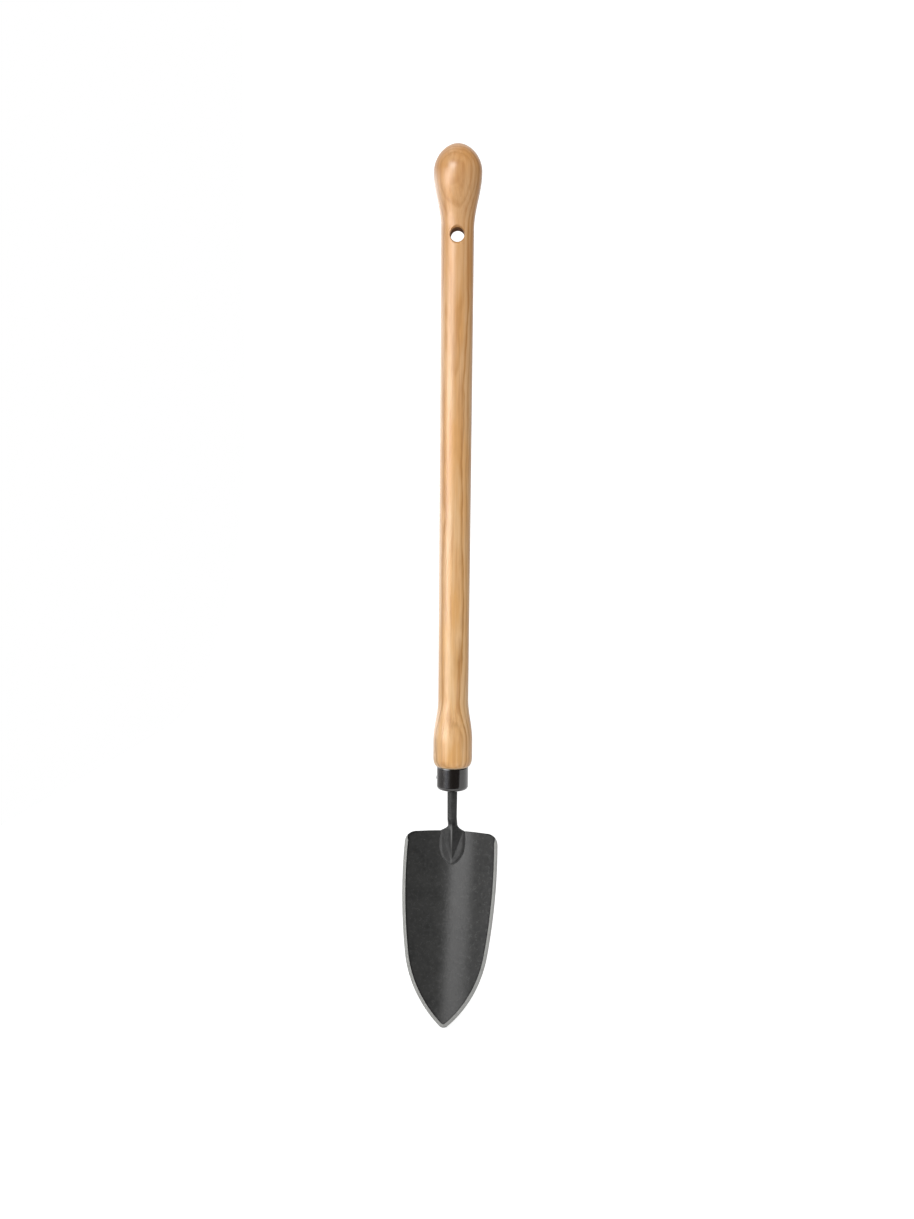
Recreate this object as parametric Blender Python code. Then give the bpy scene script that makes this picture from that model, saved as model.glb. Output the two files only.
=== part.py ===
"""Long-handled garden trowel.

A turned ash handle with a bulb and a hanging hole, a drawn steel ferrule held by
one nail, a forged tang whose leaf-shaped foot lies in the hollow of the blade,
and a dished, pointed blade with a ground edge.

The handle stands along Z with the blade at the bottom, and the hollow of the
blade faces -Y. The origin is the centre of the hanging hole. Lengths are in
metres, written as millimetres times MM.
"""
import math

import bmesh
import bpy
from mathutils import Vector

MM = 0.001

# Handle
HOLE_BELOW_TOP = 69.0 * MM
BULB_DIAMETER = 36.8 * MM
BULB_CROWN = 21.0 * MM
BULB_FALL = 43.0 * MM
BULB_POWER = 1.93
BULB_ROOT = 0.55
SHAFT_DIAMETER = 25.2 * MM
SHAFT_END_DIAMETER = 23.8 * MM
SHOULDER_BELOW_TOP = 479.6 * MM
SWELL_DIAMETER = 30.7 * MM
SWELL_RISE = 34.0 * MM
SWELL_LENGTH = 20.5 * MM
SHOULDER_ROUND = 7.0 * MM

# Hanging hole, drilled a few degrees off the blade's facing direction
HOLE_DIAMETER = 10.4 * MM
HOLE_FLARE = 1.9 * MM
HOLE_TURN = math.radians(6.0)

# Ferrule and its nail
FERRULE_DIAMETER = 24.9 * MM
FERRULE_LENGTH = 18.6 * MM
FERRULE_WALL = 1.2 * MM
FERRULE_CORNER = 3.0 * MM
NAIL_BELOW_RIM = 9.4 * MM
NAIL_SHANK_DIAMETER = 1.6 * MM
NAIL_HEAD_DIAMETER = 3.2 * MM
NAIL_HEAD_HEIGHT = 0.5 * MM
NAIL_LENGTH = 6.4 * MM

# Tang: the spike in the handle, the round neck and the foot on the blade
SPIKE_LENGTH = 95.0 * MM
SPIKE_TIP_WIDTH = 3.2 * MM
SPIKE_SQUARE_SHARE = 0.7
SPIKE_ROUND_SHARE = 0.9
NECK_DIAMETER = 7.9 * MM
NECK_END_DIAMETER = 7.3 * MM
NECK_LENGTH = 35.1 * MM
FOOT_WIDTH = 18.4 * MM
FOOT_LENGTH = 25.8 * MM
FOOT_STRAIGHT = 10.0 * MM
FOOT_EDGE = 1.7 * MM
FOOT_CROWN = 0.6 * MM
FOOT_POWER = 2.2
FOOT_ROOT = 0.6
FOOT_FILLET = 5.5 * MM
FILLET_POWER = 2.2
FORGED_RUN = 8.0 * MM
RIDGE_WIDTH = 15.6 * MM
RIDGE_CREST = 0.8 * MM
RIDGE_LIMIT = 0.86
RIDGE_HOLLOW = 0.46

# Blade
BLADE_LENGTH = 152.4 * MM
BLADE_WIDTH = 75.0 * MM
BLADE_THICKNESS = 2.4 * MM
BLADE_SETBACK = 5.6 * MM
BLADE_LEAN = math.radians(17.6)
BLADE_CURL = math.radians(3.4)
DISH_RADIUS = 70.0 * MM
TOP_ARCH = 1.7 * MM
CORNER_RADIUS = 9.4 * MM
WIDEST_BELOW_TOP = 29.0 * MM
SIDE_RADIUS = 455.0 * MM
POINT_BELOW_TOP = 97.0 * MM
NOSE_RADIUS = 4.8 * MM
BEVEL_WIDTH = 2.6 * MM
BEVEL_BELOW_TOP = 4.4 * MM
BEVEL_RUN_IN = 5.2 * MM
HONED_WIDTH = 1.2 * MM
HONED_DEPTH = 1.2 * MM
EDGE_THICKNESS = 0.4 * MM
ARRIS = 0.4 * MM

# Welds that hold the foot to the blade
WELD_LEG = 1.0 * MM
WELD_POWER = 1.35
BACK_WELD_LEG = 2.1 * MM
BACK_WELD_LENGTH = 13.0 * MM

# Clearance between touching pieces
FIT_GAP = 0.3 * MM

# Fineness of the meshes
TURN_STEPS = 40
SMALL_STEPS = 16
LOOP_POINTS = 24
BLADE_COLUMNS = 20
SOFT_ANGLE = math.radians(48.0)
CREASE_ANGLE = math.radians(17.0)
MERGE = 0.01 * MM

# Levels that follow from the sizes above, measured from the hanging hole
TOP_Z = HOLE_BELOW_TOP
WIDEST_Z = TOP_Z - BULB_CROWN
RIM_Z = TOP_Z - SHOULDER_BELOW_TOP
FERRULE_END_Z = RIM_Z - FERRULE_LENGTH
SPIKE_TOP_Z = FERRULE_END_Z + SPIKE_LENGTH
BLADE_TOP_Z = FERRULE_END_Z - NECK_LENGTH
TENON_RADIUS = FERRULE_DIAMETER / 2 - FERRULE_WALL - FIT_GAP
TENON_END_Z = FERRULE_END_Z + FERRULE_WALL + FIT_GAP
INNER_CORNER = max(FERRULE_CORNER - FERRULE_WALL, ARRIS)


def blend(start, end, share):
    """Straight mix of two values."""
    return start + (end - start) * share


def ease(share):
    """Half a cosine wave from 0 to 1, level at both ends."""
    share = min(max(share, 0.0), 1.0)
    return 0.5 - 0.5 * math.cos(math.pi * share)


def material(name, colour, roughness, metallic=0.0, coat=0.0):
    """Principled material of one plain finish."""
    finish = bpy.data.materials.new(name)
    finish.use_nodes = True
    shader = finish.node_tree.nodes["Principled BSDF"]
    shader.inputs["Base Color"].default_value = (*colour, 1.0)
    shader.inputs["Roughness"].default_value = roughness
    shader.inputs["Metallic"].default_value = metallic
    shader.inputs["Coat Weight"].default_value = coat
    finish.diffuse_color = (*colour, 1.0)
    return finish


def add_object(name, mesh, parent=None, finish=None):
    """Link one mesh as one named object."""
    piece = bpy.data.objects.new(name, mesh)
    bpy.context.collection.objects.link(piece)
    piece.parent = parent
    if finish is not None:
        mesh.materials.append(finish)
    return piece


def as_cutter(piece):
    """Keep an object for Boolean cuts only. Its flat faces leave a crisp edge in the cut."""
    piece.hide_render = True
    piece.display_type = "WIRE"
    for face in piece.data.polygons:
        face.use_smooth = False
    for modifier in piece.modifiers:
        modifier.use_smooth_shade = False
    return piece


def turned(name, profile, steps, parent=None, finish=None, closed=False):
    """Turn a profile of (radius, height) points about Z, listed down the outer side."""
    count = len(profile)
    edges = [(i, i + 1) for i in range(count - 1)]
    if closed:
        edges.append((count - 1, 0))
    mesh = bpy.data.meshes.new(name)
    mesh.from_pydata([(radius, 0.0, height) for radius, height in profile], edges, [])
    piece = add_object(name, mesh, parent, finish)
    screw = piece.modifiers.new("Turn", "SCREW")
    screw.axis = "Z"
    screw.steps = steps
    screw.render_steps = steps
    screw.use_merge_vertices = True
    screw.merge_threshold = MERGE
    screw.use_smooth_shade = True
    return piece


def cut(piece, *cutters):
    """Take cutters out of a piece, then shade its large faces true round the cuts."""
    for cutter in cutters:
        boolean = piece.modifiers.new("Cut " + cutter.name, "BOOLEAN")
        boolean.operation = "DIFFERENCE"
        boolean.solver = "EXACT"
        boolean.object = cutter
    piece.modifiers.new("Shade", "WEIGHTED_NORMAL").weight = 100


def lofted(name, rings, parent=None, finish=None, creases=()):
    """Skin a row of rings with equal point counts and close both ends with a face."""
    sheet = bmesh.new()
    loops = [[sheet.verts.new(point) for point in ring] for ring in rings]
    count = len(rings[0])
    for upper, lower in zip(loops, loops[1:]):
        for i in range(count):
            j = (i + 1) % count
            sheet.faces.new((upper[i], upper[j], lower[j], lower[i]))
    sheet.faces.new(loops[0])
    sheet.faces.new(loops[-1])
    crease_edges = {sheet.edges.get((upper[i], lower[i]))
                    for upper, lower in zip(loops, loops[1:]) for i in creases}
    return finished(name, sheet, parent, finish, crease_edges)


def finished(name, sheet, parent, finish, crease_edges=()):
    """Turn a closed bmesh outwards, smooth it except at real corners, and link it."""
    bmesh.ops.recalc_face_normals(sheet, faces=sheet.faces)
    for face in sheet.faces:
        face.smooth = True
    for edge in sheet.edges:
        limit = CREASE_ANGLE if edge in crease_edges else SOFT_ANGLE
        edge.smooth = edge.calc_face_angle() < limit
    mesh = bpy.data.meshes.new(name)
    sheet.to_mesh(mesh)
    sheet.free()
    return add_object(name, mesh, parent, finish)


# The handle


def crown_points():
    """Top of the bulb: radius = half width * (1 - t^power)^root, t falling from 1 to 0."""
    points = []
    for i in range(11):
        t = math.cos(math.radians(90.0) * i / 11)
        radius = BULB_DIAMETER / 2 * (1.0 - t ** BULB_POWER) ** BULB_ROOT
        points.append((radius, WIDEST_Z + BULB_CROWN * t))
    return points


def handle_profile():
    """Outer side of the handle from the top of the bulb to the end of the tenon."""
    shaft = SHAFT_DIAMETER / 2
    shaft_end = SHAFT_END_DIAMETER / 2
    swell = SWELL_DIAMETER / 2
    fall_end_z = WIDEST_Z - BULB_FALL
    swell_full_z = RIM_Z + SWELL_LENGTH
    swell_start_z = swell_full_z + SWELL_RISE
    round_start_z = RIM_Z + SHOULDER_ROUND
    lip = FERRULE_DIAMETER / 2 + FIT_GAP / 2
    points = crown_points()
    for i in range(13):
        share = i / 12
        points.append((blend(BULB_DIAMETER / 2, shaft, ease(share)), WIDEST_Z - BULB_FALL * share))
    for z in (fall_end_z / 2, -HOLE_DIAMETER / 2, -HOLE_DIAMETER, -2 * HOLE_DIAMETER):
        share = (fall_end_z - z) / (fall_end_z - swell_start_z)
        points.append((blend(shaft, shaft_end, share), z))
    for i in range(1, 5):
        share = i / 5
        points.append((blend(shaft, shaft_end, share), blend(fall_end_z, swell_start_z, share)))
    for i in range(11):
        share = i / 10
        points.append((blend(shaft_end, swell, ease(share)), swell_start_z - SWELL_RISE * share))
    full_turn = math.radians(75.0)
    for i in range(7):
        angle = full_turn * i / 6
        inward = (1.0 - math.cos(angle)) / (1.0 - math.cos(full_turn))
        downward = math.sin(angle) / math.sin(full_turn)
        points.append((blend(swell, lip, inward), round_start_z - SHOULDER_ROUND * downward))
    points.append((TENON_RADIUS, RIM_Z))
    points.append((TENON_RADIUS, TENON_END_Z + INNER_CORNER))
    points.append((TENON_RADIUS - INNER_CORNER, TENON_END_Z))
    points.append((0.0, TENON_END_Z))
    return points


def hanging_hole_cutter(parent):
    """Bore with a flared mouth at each side, turned about its own Z and laid across the handle."""
    bore = HOLE_DIAMETER / 2
    face = SHAFT_DIAMETER / 2
    reach = face + HOLE_FLARE
    mouth = bore + 2 * HOLE_FLARE
    profile = [
        (0.0, reach),
        (mouth, reach),
        (bore, face - HOLE_FLARE),
        (bore, HOLE_FLARE - face),
        (mouth, -reach),
        (0.0, -reach),
    ]
    cutter = turned("hanging_hole_cutter", profile, TURN_STEPS, parent)
    cutter.rotation_euler = (math.radians(90.0), 0.0, HOLE_TURN)
    return as_cutter(cutter)


# The ferrule and its nail


def ferrule_profile():
    """Section of the drawn cup: down the outside, in to the tang's hole, up the inside."""
    outer = FERRULE_DIAMETER / 2
    inner = outer - FERRULE_WALL
    hole = NECK_DIAMETER / 2 + FIT_GAP
    rim_z = RIM_Z - FIT_GAP
    floor_z = FERRULE_END_Z + FERRULE_WALL
    nail_z = RIM_Z - NAIL_BELOW_RIM
    points = [
        (outer - ARRIS / 2, rim_z),
        (outer, rim_z - ARRIS / 2),
        (outer, nail_z + NAIL_HEAD_DIAMETER),
        (outer, nail_z - NAIL_HEAD_DIAMETER),
    ]
    for i in range(7):
        angle = math.radians(90.0) * i / 6
        points.append((
            outer - FERRULE_CORNER * (1.0 - math.cos(angle)),
            FERRULE_END_Z + FERRULE_CORNER * (1.0 - math.sin(angle)),
        ))
    points.append((hole, FERRULE_END_Z))
    points.append((hole, floor_z))
    for i in range(4):
        angle = math.radians(90.0) * (1.0 - i / 3)
        points.append((
            inner - INNER_CORNER * (1.0 - math.cos(angle)),
            floor_z + INNER_CORNER * (1.0 - math.sin(angle)),
        ))
    points.append((inner, rim_z))
    return points


def nail_profile():
    """Domed head above its own Z = 0 and a shank with a short point below."""
    shank = NAIL_SHANK_DIAMETER / 2
    head = NAIL_HEAD_DIAMETER / 2
    points = []
    for i in range(5):
        angle = math.radians(90.0) * i / 4
        points.append((head * math.sin(angle), NAIL_HEAD_HEIGHT * (0.4 + 0.6 * math.cos(angle))))
    points.append((head, 0.0))
    points.append((shank, 0.0))
    points.append((shank, 2 * shank - NAIL_LENGTH))
    points.append((0.0, -NAIL_LENGTH))
    return points


def nail_place():
    """Underside of the nail's head, one clearance outside the ferrule's -X side."""
    return (-(FERRULE_DIAMETER / 2 + FIT_GAP), 0.0, RIM_Z - NAIL_BELOW_RIM)


def nail_cutter(parent):
    """Hole for the nail's shank through the ferrule wall and into the tenon."""
    radius = NAIL_SHANK_DIAMETER / 2 + FIT_GAP
    profile = [
        (0.0, 2 * FIT_GAP),
        (radius, 2 * FIT_GAP),
        (radius, -NAIL_LENGTH - FIT_GAP),
        (0.0, -NAIL_LENGTH - FIT_GAP),
    ]
    cutter = turned("nail_hole_cutter", profile, SMALL_STEPS, parent)
    cutter.location = nail_place()
    cutter.rotation_euler = (0.0, math.radians(-90.0), 0.0)
    return as_cutter(cutter)


# The blade's surface, which its foot and welds share


def blade_point(x, s, height=0.0):
    """Point on the blade at x across and s down from its top edge.

    The middle line leans forward by an angle that grows evenly with s. The front
    face has arcs of DISH_RADIUS across it, and a height in front of that face
    (behind it where negative) has concentric arcs.
    """
    turn = BLADE_CURL / BLADE_LENGTH
    lean = BLADE_LEAN + turn * s
    middle_y = BLADE_SETBACK - (math.cos(BLADE_LEAN) - math.cos(lean)) / turn
    middle_z = BLADE_TOP_Z - (math.sin(lean) - math.sin(BLADE_LEAN)) / turn
    forward = DISH_RADIUS - math.sqrt((DISH_RADIUS - height) ** 2 - x ** 2)
    return Vector((x, middle_y - forward * math.cos(lean), middle_z + forward * math.sin(lean)))


def arc(centre, radius, start, end, count):
    """Points (x, s, outward x, outward s) from start to end angle, the last left out."""
    points = []
    for i in range(count):
        angle = blend(start, end, i / count)
        out_x, out_s = math.cos(angle), math.sin(angle)
        points.append((centre[0] + radius * out_x, centre[1] + radius * out_s, out_x, out_s))
    return points


def blade_outline():
    """Right half of the outline: corner, long side, point and nose, each a tangent arc."""
    half = BLADE_WIDTH / 2
    side = (half - SIDE_RADIUS, WIDEST_BELOW_TOP)
    corner_s = TOP_ARCH + CORNER_RADIUS
    reach = SIDE_RADIUS - CORNER_RADIUS
    corner = (side[0] + math.sqrt(reach ** 2 - (corner_s - side[1]) ** 2), corner_s)
    corner_end = math.atan2(corner[1] - side[1], corner[0] - side[0])
    side_end = math.asin((POINT_BELOW_TOP - WIDEST_BELOW_TOP) / SIDE_RADIUS)
    joint_x = side[0] + SIDE_RADIUS * math.cos(side_end)
    nose = (0.0, BLADE_LENGTH - NOSE_RADIUS)
    drop = nose[1] - POINT_BELOW_TOP
    point_radius = (joint_x ** 2 + drop ** 2 - NOSE_RADIUS ** 2) / (
        2 * (joint_x * math.cos(side_end) - drop * math.sin(side_end) - NOSE_RADIUS))
    point = (joint_x - point_radius * math.cos(side_end),
             POINT_BELOW_TOP - point_radius * math.sin(side_end))
    nose_start = math.atan2(nose[1] - point[1], nose[0] - point[0])
    quarter = math.radians(90.0)
    return (arc(corner, CORNER_RADIUS, -quarter, corner_end, 8)
            + arc(side, SIDE_RADIUS, corner_end, side_end, 12)
            + arc(point, point_radius, side_end, nose_start, 14)
            + arc(nose, NOSE_RADIUS, nose_start, quarter, 5)
            + [(0.0, BLADE_LENGTH, 0.0, 1.0)])


def bevel_share(s):
    """0 on the top edge, 1 where the ground edge has its full width."""
    return ease((s - BEVEL_BELOW_TOP) / BEVEL_RUN_IN)


def blade_row(x_end, s_end):
    """Points (x, s) across the blade, arched like the top edge near it."""
    fade = max(0.0, 1.0 - (s_end - TOP_ARCH) / WIDEST_BELOW_TOP)
    row = []
    for j in range(BLADE_COLUMNS + 1):
        share = 2 * j / BLADE_COLUMNS - 1.0
        row.append((x_end * share, s_end - TOP_ARCH * fade * (1.0 - share ** 2)))
    return row


def inset_rows(at_top, at_bevel):
    """Rows of points inside the outline, moved in by one amount at the top and one at the bevel."""
    points = []
    for x, s, out_x, out_s in blade_outline():
        width = blend(at_top, at_bevel, bevel_share(s))
        points.append((x - width * out_x, s - width * out_s))
    return [blade_row(x, s) for x, s in points[:-1]], points[-1]


def blade_loop(sheet, insets, depths):
    """Loop of vertices inset from the outline and sunk below the front face."""
    rows, tip = inset_rows(*insets)
    depth_rows = []
    for row, (x, s, out_x, out_s) in zip(rows, blade_outline()):
        height = -blend(*depths, bevel_share(s))
        depth_rows.append([(*point, height) for point in row])
    loop = boundary(depth_rows, (*tip, -depths[1]))
    return [sheet.verts.new(blade_point(*point)) for point in loop]


def blade_face(sheet, rows, tip, height):
    """Grid of vertices over one face of the blade, closed at the tip by a fan."""
    grid = [[sheet.verts.new(blade_point(x, s, height)) for x, s in row] for row in rows]
    end = sheet.verts.new(blade_point(*tip, height))
    for upper, lower in zip(grid, grid[1:]):
        for j in range(BLADE_COLUMNS):
            sheet.faces.new((upper[j], upper[j + 1], lower[j + 1], lower[j]))
    for j in range(BLADE_COLUMNS):
        sheet.faces.new((grid[-1][j], grid[-1][j + 1], end))
    return boundary(grid, end)


def boundary(grid, end):
    """Loop round a grid: top row, right ends, tip, left ends."""
    right = [row[-1] for row in grid[1:]]
    left = [row[0] for row in grid[1:]]
    return grid[0] + right + [end] + left[::-1]


def blade_mesh():
    """Flat plate dished and leaned by blade_point, with a bevel ground on its front edge."""
    ground = BLADE_THICKNESS - EDGE_THICKNESS
    sheet = bmesh.new()
    front = blade_face(sheet, *inset_rows(ARRIS, BEVEL_WIDTH), 0.0)
    middle = blade_loop(sheet, (ARRIS / 2, HONED_WIDTH), (ARRIS / 3, ground - HONED_DEPTH))
    edge = blade_loop(sheet, (0.0, 0.0), (ARRIS, ground))
    back = blade_face(sheet, *inset_rows(0.0, 0.0), -BLADE_THICKNESS)
    for outer, inner in ((middle, front), (edge, middle), (back, edge)):
        for i in range(len(edge)):
            j = (i + 1) % len(edge)
            sheet.faces.new((outer[i], outer[j], inner[j], inner[i]))
    return sheet


# The tang


def foot_half_width(s):
    """Leaf outline: straight sides, then half width * (1 - t^power)^root to a blunt point."""
    t = min(max((s - FOOT_STRAIGHT) / (FOOT_LENGTH - FOOT_STRAIGHT), 0.0), 1.0)
    return FOOT_WIDTH / 2 * (1.0 - t ** FOOT_POWER) ** FOOT_ROOT


def crest_height(s):
    """Height of the ridge over the blade, where the neck's front line runs straight down."""
    lean = BLADE_LEAN + BLADE_CURL * s / BLADE_LENGTH
    front = blade_point(0.0, s).y + NECK_END_DIAMETER / 2
    return max(front / math.cos(lean), FOOT_EDGE + FOOT_CROWN)


def foot_section(s):
    """Closed loop of (x, height) at s: over the ridge from left to right, back underneath."""
    half = foot_half_width(max(s, 0.0))
    crown = FOOT_EDGE + FOOT_CROWN
    crest = crest_height(s)
    share = (crest - crown) / (crest_height(0.0) - crown)
    base = min(RIDGE_WIDTH / 2 * share + RIDGE_CREST, RIDGE_LIMIT * half)
    top = min(RIDGE_CREST, base) / 2
    side = [
        (half, FOOT_EDGE),
        (blend(half, base, 1 / 3), blend(FOOT_EDGE, crown, 2 / 3)),
        (blend(half, base, 2 / 3), crown),
        (base, crown),
        (blend(base, top, 1 / 2), blend(crown, crest, RIDGE_HOLLOW)),
        (top, blend(crown, crest, 1.0 - top / base)),
    ]
    over = [(-x, height) for x, height in side] + [(0.0, crest)] + side[::-1]
    under = []
    steps = LOOP_POINTS - len(over)
    for i in range(steps):
        under.append((half * (1.0 - 2 * i / (steps - 1)), FIT_GAP))
    return over + under


def round_section(radius, squareness=0.0):
    """Closed loop of (x, y), from a circle to a square of the same width."""
    points = []
    for i in range(LOOP_POINTS):
        angle = math.pi + 2 * math.pi * i / LOOP_POINTS
        x, y = math.cos(angle), math.sin(angle)
        scale = radius * blend(1.0, 1.0 / max(abs(x), abs(y)), squareness)
        points.append((x * scale, y * scale))
    return points


def spike_rings(grow):
    """Rings of the spike from its top to the ferrule's floor, grown all round by a margin."""
    rings = []
    square_z = blend(SPIKE_TOP_Z, FERRULE_END_Z, SPIKE_SQUARE_SHARE)
    round_z = blend(SPIKE_TOP_Z, FERRULE_END_Z, SPIKE_ROUND_SHARE)
    levels = [(SPIKE_TOP_Z, 1.0), (square_z, 1.0), ((square_z + round_z) / 2, 0.5), (round_z, 0.0)]
    for z, squareness in levels:
        share = (SPIKE_TOP_Z - z) / (SPIKE_TOP_Z - round_z)
        radius = blend(SPIKE_TIP_WIDTH, NECK_DIAMETER, share) / 2 + grow
        rings.append([Vector((x, y, z)) for x, y in round_section(radius, squareness)])
    for point in rings[0]:
        point.z += grow
    return rings


def neck_radius(z):
    """The neck tapers evenly from the ferrule to the blade."""
    share = (FERRULE_END_Z - z) / NECK_LENGTH
    return blend(NECK_DIAMETER, NECK_END_DIAMETER, min(max(share, 0.0), 1.0)) / 2


def flare_ring(rise):
    """Ring between neck and foot at a rise above the blade's edge.

    The width spreads as (1 - rise / fillet)^power. The front is forged from round
    to ridged, and the back turns flat sooner, so that the weld behind it seats.
    """
    centre = blade_point(0.0, -rise)
    radius = neck_radius(centre.z)
    spread = max(0.0, 1.0 - rise / FOOT_FILLET) ** FILLET_POWER
    narrowing = blend(radius, FOOT_WIDTH / 2, spread) / (FOOT_WIDTH / 2)
    ridged = 1.0 - ease(rise / FORGED_RUN)
    flat = 1.0 - ease((rise - BACK_WELD_LEG - FIT_GAP) / FORGED_RUN)
    over = LOOP_POINTS // 2 + 1
    ring = []
    for i, (neck, foot) in enumerate(zip(round_section(radius), foot_section(-rise))):
        share = ridged if i < over else flat
        foot_point = blade_point(foot[0] * narrowing, -rise, foot[1])
        ring.append(Vector((*neck, centre.z)).lerp(foot_point, share))
    return ring


def tang_rings():
    """All rings of the tang, from the tip of the spike down to the point of the foot."""
    rings = spike_rings(0.0)
    flare_top = FORGED_RUN + BACK_WELD_LEG + FIT_GAP
    neck_end_z = blade_point(0.0, -flare_top).z
    for i in range(4):
        z = blend(FERRULE_END_Z, neck_end_z, i / 4)
        rings.append([Vector((x, y, z)) for x, y in round_section(neck_radius(z))])
    for i in range(14):
        rings.append(flare_ring(flare_top * (1.0 - i / 14) ** 1.4))
    for i in range(5):
        s = FOOT_STRAIGHT * i / 5
        rings.append([blade_point(x, s, height) for x, height in foot_section(s)])
    for i in range(12):
        t = math.sin(math.radians(86.0) * i / 11)
        s = blend(FOOT_STRAIGHT, FOOT_LENGTH, t)
        rings.append([blade_point(x, s, height) for x, height in foot_section(s)])
    return rings


# The welds


def bead_section(leg_out, leg_up):
    """Fillet of weld in a corner, as (out, up) pairs.

    Two legs meet in the corner, and the face between them is a superellipse.
    """
    points = [(0.0, 0.0)]
    for i in range(5):
        angle = math.radians(90.0) * i / 4
        out, up = abs(math.cos(angle)), abs(math.sin(angle))
        reach = (out ** WELD_POWER + up ** WELD_POWER) ** (-1.0 / WELD_POWER)
        points.append((leg_out * out * reach, leg_up * up * reach))
    return points


def side_weld_rings(side):
    """Bead along one side of the leaf, thinning out at both ends."""
    rings = []
    count = 18
    for i in range(count + 1):
        share = i / count
        turn = math.radians(84.0) * max(0.0, (share - 0.4) / 0.6)
        s = blend(FOOT_EDGE, FOOT_STRAIGHT, min(share / 0.4, 1.0))
        s += (FOOT_LENGTH - FOOT_STRAIGHT) * math.sin(turn)
        step = 0.02 * MM
        slope = (foot_half_width(s + step) - foot_half_width(s - step)) / (2 * step)
        length = math.hypot(1.0, slope)
        out_x, out_s = 1.0 / length, -slope / length
        x = foot_half_width(s)
        leg = WELD_LEG * blend(1 / 3, 1.0, ease(min(4 * share, 4 * (1.0 - share))))
        ring = []
        for out, up in bead_section(leg, min(leg, FOOT_EDGE - FIT_GAP)):
            reach = FIT_GAP + out
            ring.append(blade_point(side * (x + reach * out_x), s + reach * out_s, FIT_GAP + up))
        rings.append(ring)
    return rings


def back_weld_rings():
    """Bead in the corner between the back of the tang and the blade's top edge."""
    rings = []
    count = 12
    for i in range(count + 1):
        share = 2 * i / count - 1.0
        x = BACK_WELD_LENGTH / 2 * share
        leg = BACK_WELD_LEG * math.sqrt(1.0 - 0.9 * share ** 2)
        rings.append([blade_point(x, -FIT_GAP - up, -out) for out, up in bead_section(leg, leg)])
    return rings


def build():
    """Make every piece of the trowel."""
    for old in list(bpy.data.objects):
        bpy.data.objects.remove(old)
    trowel = bpy.data.objects.new("trowel", None)
    bpy.context.collection.objects.link(trowel)

    ash = material("varnished ash", (0.72, 0.47, 0.24), 0.32, coat=0.5)
    paint = material("black gloss paint", (0.012, 0.012, 0.014), 0.18, coat=0.6)
    forged = material("dark forged steel", (0.055, 0.055, 0.057), 0.42, metallic=0.6)
    coated = material("dark coated steel", (0.075, 0.075, 0.078), 0.45, metallic=0.6)
    weld = material("blackened weld", (0.05, 0.05, 0.052), 0.55, metallic=0.5)

    hole_cutter = hanging_hole_cutter(trowel)
    shank_cutter = nail_cutter(trowel)
    bore_rings = spike_rings(FIT_GAP)
    tenon_end = [Vector((point.x, point.y, FERRULE_END_Z)) for point in bore_rings[-1]]
    bore_cutter = as_cutter(lofted("tang_bore_cutter", bore_rings + [tenon_end], trowel))

    handle = turned("handle", handle_profile(), TURN_STEPS, trowel, ash)
    cut(handle, hole_cutter, bore_cutter, shank_cutter)

    ferrule = turned("ferrule", ferrule_profile(), TURN_STEPS, trowel, paint, closed=True)
    cut(ferrule, shank_cutter)
    nail = turned("ferrule_nail", nail_profile(), SMALL_STEPS, trowel, paint)
    nail.location = nail_place()
    nail.rotation_euler = (0.0, math.radians(-90.0), 0.0)

    lofted("tang", tang_rings(), trowel, forged, creases=(0, 3, 6, 9, 12, 13, LOOP_POINTS - 1))
    finished("blade", blade_mesh(), trowel, coated)
    lofted("weld_left", side_weld_rings(-1.0), trowel, weld)
    lofted("weld_right", side_weld_rings(1.0), trowel, weld)
    lofted("weld_back", back_weld_rings(), trowel, weld)


build()
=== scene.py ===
"""Looks of the long-handled garden trowel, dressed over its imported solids.

Every piece is a surface of two parameters, worked out with numpy as whole arrays.
Lengths are in metres. The handle stands along Z, the hollow of the blade faces -Y,
and the origin is the centre of the hanging hole.
"""

import bmesh
import bpy
import numpy as np
from mathutils import Matrix, Vector


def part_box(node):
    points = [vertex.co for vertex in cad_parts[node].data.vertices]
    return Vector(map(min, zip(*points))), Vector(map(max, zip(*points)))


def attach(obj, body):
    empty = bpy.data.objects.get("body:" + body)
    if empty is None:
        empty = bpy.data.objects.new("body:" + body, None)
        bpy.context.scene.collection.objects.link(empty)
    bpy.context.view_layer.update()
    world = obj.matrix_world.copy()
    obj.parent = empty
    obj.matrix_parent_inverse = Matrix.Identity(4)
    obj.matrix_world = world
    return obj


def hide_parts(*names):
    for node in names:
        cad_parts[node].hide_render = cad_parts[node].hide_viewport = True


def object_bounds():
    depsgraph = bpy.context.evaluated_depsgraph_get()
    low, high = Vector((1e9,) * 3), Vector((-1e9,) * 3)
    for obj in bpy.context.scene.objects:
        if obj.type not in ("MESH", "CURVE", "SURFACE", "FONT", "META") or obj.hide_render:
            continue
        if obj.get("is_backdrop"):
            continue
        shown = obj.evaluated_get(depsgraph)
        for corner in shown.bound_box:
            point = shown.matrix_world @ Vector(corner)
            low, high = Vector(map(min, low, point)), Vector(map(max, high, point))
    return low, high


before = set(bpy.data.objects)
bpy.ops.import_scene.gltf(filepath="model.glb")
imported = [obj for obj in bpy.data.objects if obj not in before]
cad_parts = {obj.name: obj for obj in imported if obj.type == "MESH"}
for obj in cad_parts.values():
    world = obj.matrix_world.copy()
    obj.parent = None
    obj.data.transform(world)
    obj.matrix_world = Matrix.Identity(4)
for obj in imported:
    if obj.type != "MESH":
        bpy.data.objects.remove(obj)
solids_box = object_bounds()

MM = 0.001

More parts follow.
